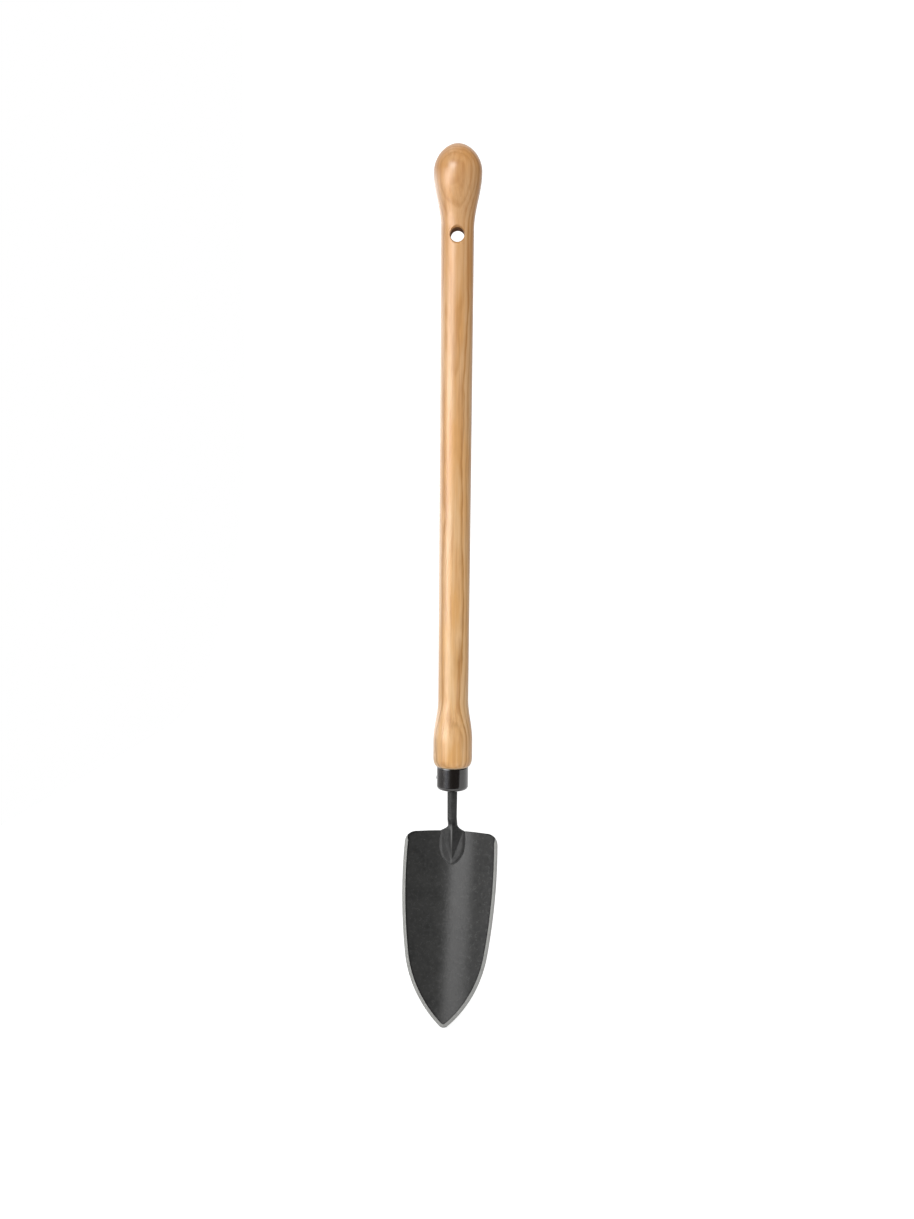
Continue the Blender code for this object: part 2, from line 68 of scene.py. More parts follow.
# Camera, placed from the handle's axis and from the hanging hole
CAMERA_DISTANCE = 1158.2 * MM
CAMERA_HEIGHT = -156.8 * MM
CAMERA_ASIDE = 2.3 * MM
CAMERA_AZIMUTH = np.radians(7.14)
CAMERA_PITCH = np.radians(6.36)
CAMERA_ROLL = np.radians(0.55)
CAMERA_LENS = 43.97
CAMERA_FILM = 36.0
CAMERA_NEAR = 50.0 * MM

# Handle
TOP_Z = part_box("handle")[1].z
BULB_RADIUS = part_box("handle")[1].x
BULB_CROWN = 21.0 * MM
BULB_FALL = 43.0 * MM
BULB_POWER = 1.93
BULB_ROOT = 0.55
SHAFT_RADIUS = 12.6 * MM
SHAFT_END_RADIUS = 11.9 * MM
SWELL_RADIUS = 15.35 * MM
SWELL_RISE = 34.0 * MM
SWELL_LENGTH = 20.5 * MM
SHOULDER_ROUND = 7.0 * MM
SHOULDER_TURN = np.radians(75.0)
UNVARNISHED_BAND = 2.0 * MM

# Year rings round a pith that stands behind the handle, bent by two noises, in years
RING_WIDTH = 3.0 * MM
PITH_X = 2.0 * MM
PITH_Y = 58.0 * MM
RING_DRIFT = 3.4
RING_WANDER = 1.9

# Hanging hole
BORE_RADIUS = 5.2 * MM
HOLE_FLARE = 1.9 * MM
HOLE_TURN = np.radians(6.0)
FLARE_SOFTNESS = 0.7 * MM
PATCH_HEIGHT = 14.0 * MM

# Ferrule and its nail
FIT_GAP = 0.3 * MM
FERRULE_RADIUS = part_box("ferrule")[1].x
FERRULE_END_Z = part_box("ferrule")[0].z
RIM_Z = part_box("ferrule")[1].z + FIT_GAP
FERRULE_WALL = 1.2 * MM
FERRULE_CORNER = 3.0 * MM
NAIL_Z = sum(corner.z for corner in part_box("ferrule_nail")) / 2
NAIL_HEAD_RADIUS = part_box("ferrule_nail")[1].y
NAIL_HEAD_HEIGHT = 0.5 * MM
NAIL_RIM_SHARE = 0.4
NAIL_SHANK_RADIUS = 0.8 * MM

# Tang
SPIKE_TOP_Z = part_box("tang")[1].z
SPIKE_TIP_RADIUS = 1.6 * MM
SPIKE_SQUARE_SHARE = 0.7
SPIKE_ROUND_SHARE = 0.9
NECK_RADIUS = 3.95 * MM
NECK_END_RADIUS = 3.65 * MM
FOOT_HALF_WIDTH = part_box("tang")[1].x
FOOT_LENGTH = 25.8 * MM
FOOT_STRAIGHT = 10.0 * MM
FOOT_EDGE = 1.7 * MM
FOOT_CROWN = 0.6 * MM
FOOT_POWER = 2.2
FOOT_ROOT = 0.6
FOOT_END_TURN = np.radians(86.0)
PAD_POWER = 18
FOOT_FILLET = 5.5 * MM
FILLET_POWER = 2.2
FORGED_RUN = 12.0 * MM
RIDGE_HALF_WIDTH = 7.8 * MM
RIDGE_CREST = 0.8 * MM
RIDGE_LIMIT = 0.86
RIDGE_HOLLOW = 0.16
# Lighter steel along the tang's crest and the foot's rim: part wear, part painted highlight
CREST_WEAR_SHEEN = 0.6 * MM
CREST_FADE_UP = 8.0 * MM
CREST_FADE_DOWN = 0.7 * FOOT_LENGTH
CREST_FADE_SHARE = 0.75
RIM_WEAR_SHEEN = 0.5 * MM
RIM_WEAR_SHEEN_SHARE = 0.2

# Blade
BLADE_TOP_Z = -464.3 * MM
BLADE_LENGTH = 152.4 * MM
BLADE_HALF_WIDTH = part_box("blade")[1].x
BLADE_THICKNESS = 2.4 * MM
BLADE_SETBACK = 5.6 * MM
BLADE_LEAN = np.radians(17.6)
BLADE_CURL = np.radians(3.4)
DISH_RADIUS = 70.0 * MM
TOP_ARCH = 1.7 * MM
CORNER_RADIUS = 9.4 * MM
WIDEST_BELOW_TOP = 29.0 * MM
SIDE_RADIUS = 455.0 * MM
POINT_BELOW_TOP = 97.0 * MM
NOSE_RADIUS = 4.8 * MM
BEVEL_WIDTH = 2.6 * MM
BEVEL_BELOW_TOP = 4.4 * MM
BEVEL_RUN_IN = 5.2 * MM
GROUND_FROM = 0.12
HONED_WIDTH = 1.2 * MM
HONED_DEPTH = 1.2 * MM
EDGE_THICKNESS = 0.4 * MM
ARRIS = 0.4 * MM
RIM_LINE_WIDTH = 2.0 * MM
FAR_FROM_RIM = 1.0

# Welds
WELD_LEG = 1.0 * MM
WELD_RISE_SHARE = 0.7
WELD_TOP_SHARE = 1 / 3
WELD_STRAIGHT_SHARE = 0.4
WELD_END_TURN = np.radians(89.0)
WELD_BITE = 0.1 * MM
WELD_POWER = 1.35
WELD_RIPPLE = 1.1 * MM
RIPPLE_SHARE = 0.04
BACK_WELD_LEG = 2.1 * MM
BACK_WELD_LENGTH = 13.0 * MM
BACK_WELD_TAPER = 0.9
BACK_RIPPLE_SHARE = 0.05

# Tones of wood, as linear red, green and blue
PALE_ASH = (0.89, 0.57, 0.28)
WARM_ASH = (0.84, 0.455, 0.155)
# Painted shade that darkens the handle towards the bulb
UPPER_SHADE_ASH = (0.48, 0.18, 0.04)
EARLY_WOOD = (0.56, 0.262, 0.064)
DARK_STREAK = (0.54, 0.21, 0.055)
PALE_STREAK = (0.94, 0.63, 0.35)
WOOD_FIBRE = (0.50, 0.22, 0.065)
WOOD_PORE = (0.28, 0.12, 0.035)
UNVARNISHED_ASH = (0.86, 0.66, 0.42)
# Bore tones: the wood's own at about half, as painted shade inside the hanging hole
BORED_ASH_SHADE = (0.42, 0.235, 0.105)
BORED_EARLY_WOOD_SHADE = (0.30, 0.145, 0.055)
BORED_FIBRE_SHADE = (0.20, 0.095, 0.035)

# Tones of paint and steel
FERRULE_PAINT = (0.0085, 0.0062, 0.0052)
NAIL_PAINT = (0.013, 0.011, 0.010)
TANG_STEEL = (0.037, 0.037, 0.0365)
WELD_STEEL = (0.062, 0.062, 0.062)
RUBBED_SHEEN_STEEL = (0.34, 0.34, 0.335)
DARK_SCALE = (0.031, 0.031, 0.0305)
LIGHT_SCALE = (0.045, 0.045, 0.044)
SCALE_CLOUD = (0.052, 0.0515, 0.050)
RIM_LINE = (0.010, 0.010, 0.010)
GROUND_STEEL = (0.38, 0.38, 0.365)

# Studio by compass degrees, 0 in front of the tool and -90 at its left: the light on matt
# surfaces, what gloss shows below and above eye level, and a soft window that only gloss
# shows. EYE_LEVEL and WINDOW_HEIGHTS go by degrees of height instead.
AMBIENT = (
    (-180.0, 0.75),
    (-135.0, 0.75),
    (-95.0, 0.38),
    (-60.0, 0.08),
    (-30.0, 0.20),
    (0.0, 0.60),
    (30.0, 0.90),
    (60.0, 0.70),
    (95.0, 0.26),
    (135.0, 0.50),
    (180.0, 0.75),
)
ROOM_BELOW = (
    (-180.0, (0.95, 0.95, 0.95)),
    (-128.0, (0.50, 0.49, 0.49)),
    (-106.0, (0.38, 0.37, 0.37)),
    (-90.0, (0.35, 0.34, 0.34)),
    (-58.0, (0.34, 0.33, 0.34)),
    (-38.0, (0.34, 0.37, 0.46)),
    (-15.0, (0.15, 0.145, 0.145)),
    (5.0, (0.055, 0.05, 0.045)),
    (52.0, (0.04, 0.04, 0.04)),
    (95.0, (0.22, 0.22, 0.21)),
    (130.0, (0.40, 0.40, 0.39)),
    (160.0, (0.95, 0.95, 0.95)),
)
ROOM_ABOVE = (
    (-150.0, (0.95, 0.95, 0.95)),
    (-110.0, (0.74, 0.76, 0.80)),
    (-75.0, (0.25, 0.26, 0.27)),
    (-48.0, (0.05, 0.05, 0.05)),
    (125.0, (0.05, 0.05, 0.05)),
    (165.0, (0.95, 0.95, 0.95)),
)
WINDOW = (
    (-165.0, 0.0),
    (-150.0, 0.22),
    (-90.0, 0.24),
    (-76.0, 0.10),
    (-70.0, 0.10),
    (-56.0, 1.0),
    (-38.0, 1.0),
    (-10.0, 0.0),
)
WINDOW_HEIGHTS = ((-11.5, 0.0), (-7.5, 0.8), (5.0, 1.0), (8.5, 0.0))
WINDOW_GLOW = 10.0
EYE_LEVEL = ((-3.5, 0.0), (4.5, 1.0))

# White floor and backdrop, with their own glow for the camera and in gloss
FLOOR_DROP = 2.0 * MM
FLOOR_SIDES = (-0.6, 1.0)
FLOOR_FRONT = -0.43
FLOOR_BACK = 1.1
BACKDROP_BEND = 0.5
BACKDROP_HEIGHT = 3.0
FLOOR_TONE = (0.6, 0.6, 0.6, 1.0)
FLOOR_GLOW = 0.78
FLOOR_GLOW_IN_GLOSS = 0.45

# Fineness of the meshes
AROUND = 144
OVER_FOOT = AROUND * 2 // 3
MOUTH_ROUNDS = 40
BORE_RINGS = 30
BORE_VARNISHED = 11
PATCH_SIDE = 24
PATCH_ROWS = 20
PATCH_CROWDING = 1.3
BLADE_COLUMNS = 96
MERGE = 0.002 * MM

WIDEST_Z = TOP_Z - BULB_CROWN
FALL_END_Z = WIDEST_Z - BULB_FALL
SWELL_START_Z = RIM_Z + SWELL_LENGTH + SWELL_RISE
SHOULDER_Z = RIM_Z + SHOULDER_ROUND
TENON_RADIUS = FERRULE_RADIUS - FERRULE_WALL - FIT_GAP
TENON_END_Z = FERRULE_END_Z + FERRULE_WALL + FIT_GAP


def blend(start, end, share):
    """Straight mix of two values."""
    return start + (end - start) * share


def ease(share):
    """Half a cosine wave from 0 to 1, level at both ends."""
    return 0.5 - 0.5 * np.cos(np.pi * np.clip(share, 0.0, 1.0))


def stack(*columns):
    """Points from their x, y and z, broadcast to one shape."""
    return np.stack(np.broadcast_arrays(*columns), axis=-1)


def quads(rows, columns, wrapped):
    """Corner numbers of every cell of a grid, and of the seam where it is wrapped."""
    i, j = np.meshgrid(np.arange(rows - 1), np.arange(columns - (not wrapped)), indexing="ij")
    k = (j + 1) % columns
    cells = np.stack([i * columns + j, i * columns + k, (i + 1) * columns + k, (i + 1) * columns + j], -1)
    return cells.reshape(-1, 4)


def surface(name, sheets, finishes, sharp=40.0, slots=None, **marks):
    """One closed piece from (grid, wrapped) sheets that share their borders.

    slots holds a material number for each cell, and each mark a value for each point,
    in the order of the sheets. A mark becomes an attribute that the finish reads.
    """
    corners = []
    count = 0
    for grid, wrapped in sheets:
        corners.append(quads(*grid.shape[:2], wrapped) + count)
        count += grid.shape[0] * grid.shape[1]
    points = np.concatenate([grid.reshape(-1, 3) for grid, wrapped in sheets])
    corners = np.concatenate(corners)
    mesh = bpy.data.meshes.new(name)
    mesh.from_pydata(points.tolist(), [], corners.tolist())
    if slots is not None:
        mesh.polygons.foreach_set("material_index", slots.astype(np.int32))
    for mark, values in marks.items():
        mesh.attributes.new(mark, "FLOAT", "POINT").data.foreach_set("value", values.ravel())
    sheet = bmesh.new()
    sheet.from_mesh(mesh)
    bmesh.ops.remove_doubles(sheet, verts=sheet.verts, dist=MERGE)
    bmesh.ops.recalc_face_normals(sheet, faces=sheet.faces)
    sheet.to_mesh(mesh)
    sheet.free()
    mesh.shade_smooth()
    mesh.set_sharp_from_angle(angle=np.radians(sharp))
    for finish in finishes:
        mesh.materials.append(finish)
    piece = bpy.data.objects.new(name, mesh)
    bpy.context.collection.objects.link(piece)
    return piece


def placed(piece, node):
    """The piece rides with the tool and stands for its solid, which is hidden."""
    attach(piece, "root")
    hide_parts(node)


# Materials


def new_material(name):
    """Material with its node tree and its Principled shader."""
    finish = bpy.data.materials.new(name)
    finish.use_nodes = True
    return finish, finish.node_tree, finish.node_tree.nodes["Principled BSDF"]


def add(tree, kind, inputs, output=0, **settings):
    """Add a node, set or link its inputs by name or number, and give its output socket."""
    node = tree.nodes.new(kind)
    for key, value in settings.items():
        setattr(node, key, value)
    for key, value in inputs.items():
        plug(tree, node.inputs[key], value)
    return node.outputs[output]


def plug(tree, socket, value):
    """Link a socket to an output, or set its value."""
    if isinstance(value, bpy.types.NodeSocket):
        tree.links.new(value, socket)
    else:
        socket.default_value = value


def maths(tree, operation, first, second=0.0, third=0.0):
    """Math node on up to three values."""
    return add(tree, "ShaderNodeMath", {0: first, 1: second, 2: third}, operation=operation)


def ramp(tree, share, stops):
    """Colour ramp through (position, grey or colour) stops."""
    node = tree.nodes.new("ShaderNodeValToRGB")
    elements = node.color_ramp.elements
    while len(elements) < len(stops):
        elements.new(1.0)
    for element, (position, tone) in zip(elements, stops):
        element.position = position
        element.color = (*tone, 1.0) if isinstance(tone, tuple) else (tone, tone, tone, 1.0)
    plug(tree, node.inputs[0], share)
    return node.outputs[0]


def mixed(tree, share, first, second, blend_type="MIX"):
    """Mix of two colours, given as sockets or as plain colours."""
    node = tree.nodes.new("ShaderNodeMix")
    node.data_type = "RGBA"
    node.blend_type = blend_type
    plug(tree, node.inputs["Factor"], share)
    for socket, tone in (("A", first), ("B", second)):
        colour = next(port for port in node.inputs if port.name == socket and port.type == "RGBA")
        plug(tree, colour, (*tone, 1.0) if isinstance(tone, tuple) else tone)
    return next(port for port in node.outputs if port.type == "RGBA")


def shaded(tone, factor):
    """Tone made darker or lighter by a factor."""
    return tuple(factor * part for part in tone)


def grain_place(tree, scale=(1.0, 1.0, 1.0), shift=(0.0, 0.0, 0.0)):
    """Object coordinates, stretched and then shifted."""
    place = add(tree, "ShaderNodeTexCoord", {}, output="Object")
    return add(tree, "ShaderNodeMapping", {"Vector": place, "Location": shift, "Scale": scale})


def noise(tree, place, scale, detail=2.0, roughness=0.5, distortion=0.0):
    """Noise from 0 to 1, with its scale per unit of the place."""
    return add(tree, "ShaderNodeTexNoise", {
        "Vector": place, "Scale": scale, "Detail": detail,
        "Roughness": roughness, "Distortion": distortion})


def bump(tree, shader, height, depth, strength=1.0):
    """Relief of a depth in metres on the shader's normal."""
    relief = add(tree, "ShaderNodeBump", {"Height": height, "Distance": depth, "Strength": strength},
                 output="Normal")
    plug(tree, shader.inputs["Normal"], relief)


def year_rings(tree):
    """Early wood of each year, 0 to 1: distance from the pith over RING_WIDTH, bent by slow noise.

    The share of a year that has passed gives the tone, and each year is darker or paler.
    """
    drift = noise(tree, grain_place(tree, (22.0, 22.0, 5.5)), 1.0, detail=2.5)
    wander = noise(tree, grain_place(tree, (80.0, 80.0, 16.0), shift=(3.0, 1.0, 2.0)), 1.0, detail=3.0)
    from_pith = grain_place(tree, (1.0, 1.0, 0.0), shift=(-PITH_X, -PITH_Y, 0.0))
    radius = add(tree, "ShaderNodeVectorMath", {0: from_pith}, output="Value", operation="LENGTH")
    year = maths(tree, "MULTIPLY", radius, 1.0 / RING_WIDTH)
    year = maths(tree, "MULTIPLY_ADD", drift, RING_DRIFT, year)
    year = maths(tree, "MULTIPLY_ADD", wander, RING_WANDER, year)
    season = maths(tree, "FRACT", year)
    early = ramp(tree, season, [
        (0.0, 0.1), (0.14, 0.9), (0.24, 1.0), (0.42, 0.4), (0.7, 0.04), (1.0, 0.1)])
    each_year = add(tree, "ShaderNodeTexWhiteNoise", {"W": maths(tree, "FLOOR", year)},
                    noise_dimensions="1D")
    return maths(tree, "MULTIPLY", early, maths(tree, "MULTIPLY_ADD", each_year, 0.85, 0.3))


def bored_ash_shaded():
    """Unvarnished wood inside the hanging hole: matt and combed lengthwise by the drill, with its tones
    darkened as painted shade in the hole.
    """
    finish, tree, shader = new_material("bored_ash_shaded")
    early = year_rings(tree)
    fibre = noise(tree, grain_place(tree, (1500.0, 1500.0, 40.0)), 1.0, detail=3.0)
    scar = noise(tree, grain_place(tree, (300.0, 2600.0, 300.0)), 1.0, detail=2.0)
    wood = mixed(tree, early, BORED_ASH_SHADE, BORED_EARLY_WOOD_SHADE)
    wood = mixed(tree, ramp(tree, fibre, [(0.35, 0.5), (0.6, 0.0)]), wood, BORED_FIBRE_SHADE)
    plug(tree, shader.inputs["Base Color"], wood)
    plug(tree, shader.inputs["Roughness"], ramp(tree, scar, [(0.3, 0.75), (0.7, 0.9)]))
    shader.inputs["Specular IOR Level"].default_value = 0.15
    bump(tree, shader, scar, 0.08 * MM, 0.5)
    return finish


def varnished_ash():
    """Turned ash: year rings cut lengthwise, streaks, pore lines, fine fibre and clear varnish.

    It is painted darker and browner towards the bulb as shade, and pale as unvarnished wood where it meets
    the ferrule.
    """
    finish, tree, shader = new_material("varnished_ash")
    early = year_rings(tree)
    streak = noise(tree, grain_place(tree, (480.0, 480.0, 20.0), shift=(0.0, 5.0, 1.0)), 1.0, detail=3.0)
    fibre = noise(tree, grain_place(tree, (1500.0, 1500.0, 22.0)), 1.0, detail=3.0)
    pores = noise(tree, grain_place(tree, (2600.0, 2600.0, 70.0)), 1.0, detail=1.0)
    pores = ramp(tree, pores, [(0.0, 1.0), (0.36, 1.0), (0.45, 0.0)])
    pore_share = maths(tree, "MULTIPLY", pores, maths(tree, "MULTIPLY_ADD", early, 0.75, 0.06))
    cloud = noise(tree, grain_place(tree, (75.0, 75.0, 16.0), shift=(7.0, 2.0, 0.0)), 1.0, detail=3.0)
    wood = mixed(tree, ramp(tree, cloud, [(0.4, 0.0), (0.6, 1.0)]), PALE_ASH, WARM_ASH)
    wood = mixed(tree, early, wood, EARLY_WOOD)
    wood = mixed(tree, ramp(tree, streak, [(0.33, 0.36), (0.47, 0.0)]), wood, DARK_STREAK)
    wood = mixed(tree, ramp(tree, streak, [(0.54, 0.0), (0.72, 0.4)]), wood, PALE_STREAK)
    wood = mixed(tree, ramp(tree, fibre, [(0.3, 0.2), (0.58, 0.0)]), wood, WOOD_FIBRE)
    wood = mixed(tree, maths(tree, "MULTIPLY", pore_share, 0.4), wood, WOOD_PORE)
    height = add(tree, "ShaderNodeSeparateXYZ", {0: grain_place(tree)}, output="Z")
    above_rim = maths(tree, "SUBTRACT", height, RIM_Z)
    up_handle = maths(tree, "MULTIPLY", above_rim, 1.0 / (TOP_Z - RIM_Z))
    # Painted shade: the wood darkens up the handle towards the bulb
    wood = mixed(tree, ramp(tree, up_handle, [(0.2, 0.0), (1.0, 0.42)]), wood, UPPER_SHADE_ASH)
    up_band = maths(tree, "MULTIPLY", above_rim, 1.0 / UNVARNISHED_BAND)
    wood = mixed(tree, ramp(tree, up_band, [(0.3, 0.75), (0.75, 0.0)]), wood, UNVARNISHED_ASH)
    plug(tree, shader.inputs["Base Color"], wood)
    plug(tree, shader.inputs["Roughness"], ramp(tree, fibre, [(0.3, 0.62), (0.7, 0.52)]))
    shader.inputs["Specular IOR Level"].default_value = 0.25
    shader.inputs["Coat Weight"].default_value = 1.0
    shader.inputs["Coat Roughness"].default_value = 0.3
    shader.inputs["Coat IOR"].default_value = 1.6
    relief = maths(tree, "MULTIPLY_ADD", pore_share, -0.8, fibre)
    bump(tree, shader, relief, 0.05 * MM, 0.35)
    return finish


def black_gloss(name, tone, roughness):
    """Thick black gloss paint with slight orange peel and dust in it."""
    finish, tree, shader = new_material(name)
    place = grain_place(tree)
    peel = noise(tree, place, 420.0, detail=1.5)
    dust = noise(tree, place, 3200.0, detail=1.0)
    paint = mixed(tree, ramp(tree, dust, [(0.62, 0.0), (0.72, 0.5)]), tone, shaded(tone, 3.0))
    plug(tree, shader.inputs["Base Color"], paint)
    plug(tree, shader.inputs["Roughness"], ramp(tree, peel, [(0.3, roughness), (0.7, roughness + 0.06)]))
    shader.inputs["Specular IOR Level"].default_value = 0.6
    shader.inputs["Coat Weight"].default_value = 1.0
    shader.inputs["Coat Roughness"].default_value = 0.06
    shader.inputs["Coat IOR"].default_value = 1.6
    bump(tree, shader, peel, 0.03 * MM, 0.25)
    return finish


def forged_steel(name, tone, roughness):
    """Forged steel, dark from its heat treatment: hammer scale, fine pits, and high spots worn lighter, which
    on the tang's crest and rim are also a painted highlight.
    """
    finish, tree, shader = new_material(name)
    place = grain_place(tree)
    scale = noise(tree, place, 650.0, detail=4.0, roughness=0.6)
    fine = noise(tree, place, 2600.0, detail=3.0, roughness=0.65)
    blotch = noise(tree, place, 150.0, detail=2.0)
    steel = mixed(tree, ramp(tree, scale, [(0.35, 0.0), (0.68, 1.0)]), shaded(tone, 0.75), shaded(tone, 1.35))
    steel = mixed(tree, ramp(tree, blotch, [(0.4, 0.0), (0.75, 0.6)]), steel, shaded(tone, 1.6))
    rubbed = add(tree, "ShaderNodeAttribute", {}, output="Fac", attribute_name="rubbed")
    rubbed = maths(tree, "MULTIPLY", rubbed, ramp(tree, fine, [(0.25, 0.6), (0.7, 1.0)]))
    # Wear and painted highlight: lighter steel on the crest and rim
    steel = mixed(tree, rubbed, steel, RUBBED_SHEEN_STEEL)
    plug(tree, shader.inputs["Base Color"], steel)
    shader.inputs["Metallic"].default_value = 0.1
    shader.inputs["Specular IOR Level"].default_value = 0.25
    plug(tree, shader.inputs["Roughness"], ramp(tree, fine, [(0.3, roughness), (0.75, roughness + 0.16)]))
    relief = maths(tree, "MULTIPLY_ADD", fine, 0.3, scale)
    bump(tree, shader, relief, 0.12 * MM, 0.5)
    return finish


def coated_steel():
    """Hardened blade steel under clear lacquer: mottled scale, and a dark line inside the bevel."""
    finish, tree, shader = new_material("coated_steel")
    place = grain_place(tree)
    mottle = noise(tree, place, 330.0, detail=4.0, roughness=0.62, distortion=0.4)
    cloud = noise(tree, place, 60.0, detail=2.0)
    fine = noise(tree, place, 2400.0, detail=2.5, roughness=0.6)
    steel = mixed(tree, ramp(tree, mottle, [(0.36, 0.0), (0.66, 1.0)]), DARK_SCALE, LIGHT_SCALE)
    steel = mixed(tree, ramp(tree, cloud, [(0.4, 0.0), (0.7, 0.5)]), steel, SCALE_CLOUD)
    rim = add(tree, "ShaderNodeAttribute", {}, output="Fac", attribute_name="rim_distance")
    past_bevel = maths(tree, "SUBTRACT", rim, BEVEL_WIDTH)
    line = ramp(tree, maths(tree, "MULTIPLY", past_bevel, 1.0 / RIM_LINE_WIDTH),
                [(0.0, 0.95), (0.25, 0.85), (0.5, 0.2), (0.9, 0.0)])
    steel = mixed(tree, line, steel, RIM_LINE)
    plug(tree, shader.inputs["Base Color"], steel)
    plug(tree, shader.inputs["Roughness"], ramp(tree, mottle, [(0.3, 0.23), (0.7, 0.29)]))
    shader.inputs["Specular IOR Level"].default_value = 0.26
    relief = maths(tree, "MULTIPLY_ADD", fine, 0.25, mottle)
    bump(tree, shader, relief, 0.10 * MM, 0.4)
    return finish


def ground_steel(name, roughness):
    """Bare steel left by the grinding wheel: fine scratches across the edge."""
    finish, tree, shader = new_material(name)
    scratch = noise(tree, grain_place(tree, (900.0, 900.0, 5200.0)), 1.0, detail=3.0, roughness=0.7)
    stain = noise(tree, grain_place(tree), 260.0, detail=3.0)
    steel = mixed(tree, ramp(tree, scratch, [(0.3, 0.0), (0.7, 1.0)]),
                  shaded(GROUND_STEEL, 0.82), shaded(GROUND_STEEL, 1.15))
    steel = mixed(tree, ramp(tree, stain, [(0.55, 0.0), (0.75, 0.5)]), steel, shaded(GROUND_STEEL, 0.6))
    plug(tree, shader.inputs["Base Color"], steel)
    shader.inputs["Metallic"].default_value = 0.08
    plug(tree, shader.inputs["Roughness"], ramp(tree, scratch, [(0.3, roughness), (0.7, roughness + 0.12)]))
    bump(tree, shader, scratch, 0.03 * MM, 0.4)
    return finish


# Handle


def handle_radius(z):
    """Radius below the crown: an even taper, plus the bulb's fall and the swell, each half a cosine."""
    taper = np.clip((FALL_END_Z - z) / (FALL_END_Z - SWELL_START_Z), 0.0, 1.0)
    bulb = (BULB_RADIUS - SHAFT_RADIUS) * (1.0 - ease((WIDEST_Z - z) / BULB_FALL))
    swell = (SWELL_RADIUS - SHAFT_END_RADIUS) * ease((SWELL_START_Z - z) / SWELL_RISE)
    return blend(SHAFT_RADIUS, SHAFT_END_RADIUS, taper) + bulb + swell


def turned(radius, z, count=AROUND):
    """Rings of a profile round Z: x = r sin a, y = -r cos a, with a from -90 degrees."""
    angle = 2 * np.pi * np.arange(count) / count - np.pi / 2
    radius, z = radius[:, None], z[:, None]
    return stack(radius * np.sin(angle), -radius * np.cos(angle), z + 0.0 * angle)


def spun(grid, angle):
    """Points turned about Z: x' = x cos a - y sin a, y' = x sin a + y cos a."""
    x, y, z = np.moveaxis(grid, -1, 0)
    return stack(x * np.cos(angle) - y * np.sin(angle), x * np.sin(angle) + y * np.cos(angle), z)


def bulb_sheet():
    """Top of the handle down to the patch round the hole.

    Crown: r = R (1 - t^power)^root at height t * crown over the widest place.
    """
    t = np.cos(np.linspace(0.0, np.pi / 2, 48))
    crown_r = BULB_RADIUS * (1.0 - t ** BULB_POWER) ** BULB_ROOT
    z = np.linspace(WIDEST_Z, PATCH_HEIGHT, 60)[1:]
    return turned(np.append(crown_r, handle_radius(z)), np.append(WIDEST_Z + BULB_CROWN * t, z))


def flare_radius(depth):
    """Radius of the hanging hole at a depth y: bore plus (u + sqrt(u^2 + e^2)) / 2.

    u is how far the depth is past the start of the flare, and e is FLARE_SOFTNESS.
    """
    u = np.abs(depth) - (SHAFT_RADIUS - HOLE_FLARE)
    return BORE_RADIUS + (u + np.sqrt(u ** 2 + FLARE_SOFTNESS ** 2)) / 2


def hole_sheet():
    """Front half of the bore, its flared mouth, and the handle from the mouth to a rectangle.

    Polar rays run out from the hole. The mouth's radius depends on its own depth, so it
    is found in rounds. On the patch a point is a mix of the mouth's edge and the
    rectangle's edge, both as (angle round the handle, z).
    """
    half = AROUND // 2
    along = np.linspace(-1.0, 1.0, half + 1)[:-1]
    down = np.linspace(1.0, -1.0, PATCH_SIDE + 1)[:-1]
    right = np.ones(PATCH_SIDE)
    edge_turn = np.concatenate([along, right, -along, -right]) * np.pi / 2
    edge_z = np.concatenate([np.ones(half), down, -np.ones(half), -down]) * PATCH_HEIGHT
    ray = np.arctan2(edge_z, edge_turn * SHAFT_RADIUS)
    mouth = np.full(ray.shape, BORE_RADIUS)
    for _ in range(MOUTH_ROUNDS):
        mouth = flare_radius(np.sqrt(SHAFT_RADIUS ** 2 - (mouth * np.cos(ray)) ** 2))
    mouth_x, mouth_z = mouth * np.cos(ray), mouth * np.sin(ray)
    mouth_turn = np.arcsin(mouth_x / handle_radius(mouth_z))
    mouth_y = handle_radius(mouth_z) * np.cos(mouth_turn)
    depth = mouth_y * np.sin(np.linspace(0.0, np.pi / 2, BORE_RINGS + 1))[:-1, None]
    inside = stack(flare_radius(depth) * np.cos(ray), -depth, flare_radius(depth) * np.sin(ray))
    share = np.linspace(0.0, 1.0, PATCH_ROWS)[:, None] ** PATCH_CROWDING
    turn = blend(mouth_turn, edge_turn, share)
    z = blend(mouth_z, edge_z, share)
    outside = stack(handle_radius(z) * np.sin(turn), -handle_radius(z) * np.cos(turn), z)
    outside[0] = (inside[-1] + outside[1]) / 2
    return np.concatenate([inside, outside])


def shaft_sheet():
    """Handle below the patch: shaft, swell, round shoulder, tenon and the bore for the spike."""
    z = np.linspace(-PATCH_HEIGHT, SHOULDER_Z, 240)
    angle = np.linspace(0.0, SHOULDER_TURN, 16)[1:]
    lip = FERRULE_RADIUS + FIT_GAP / 2
    inward = (1.0 - np.cos(angle)) / (1.0 - np.cos(SHOULDER_TURN))
    downward = np.sin(angle) / np.sin(SHOULDER_TURN)
    corner = FERRULE_CORNER - FERRULE_WALL
    radius = np.concatenate([handle_radius(z), blend(SWELL_RADIUS, lip, inward),
                             [TENON_RADIUS, TENON_RADIUS, TENON_RADIUS - corner]])
    heights = np.concatenate([z, SHOULDER_Z - SHOULDER_ROUND * downward,
                              [RIM_Z, TENON_END_Z + corner, TENON_END_Z]])
    bore = spun(spike_rings(FIT_GAP)[::-1], -HOLE_TURN)
    start = bore[:1] * (1.0, 1.0, 0.0) + (0.0, 0.0, TENON_END_Z)
    return np.concatenate([turned(radius, heights), start, bore, bore[-1:] * (0.0, 0.0, 1.0)])


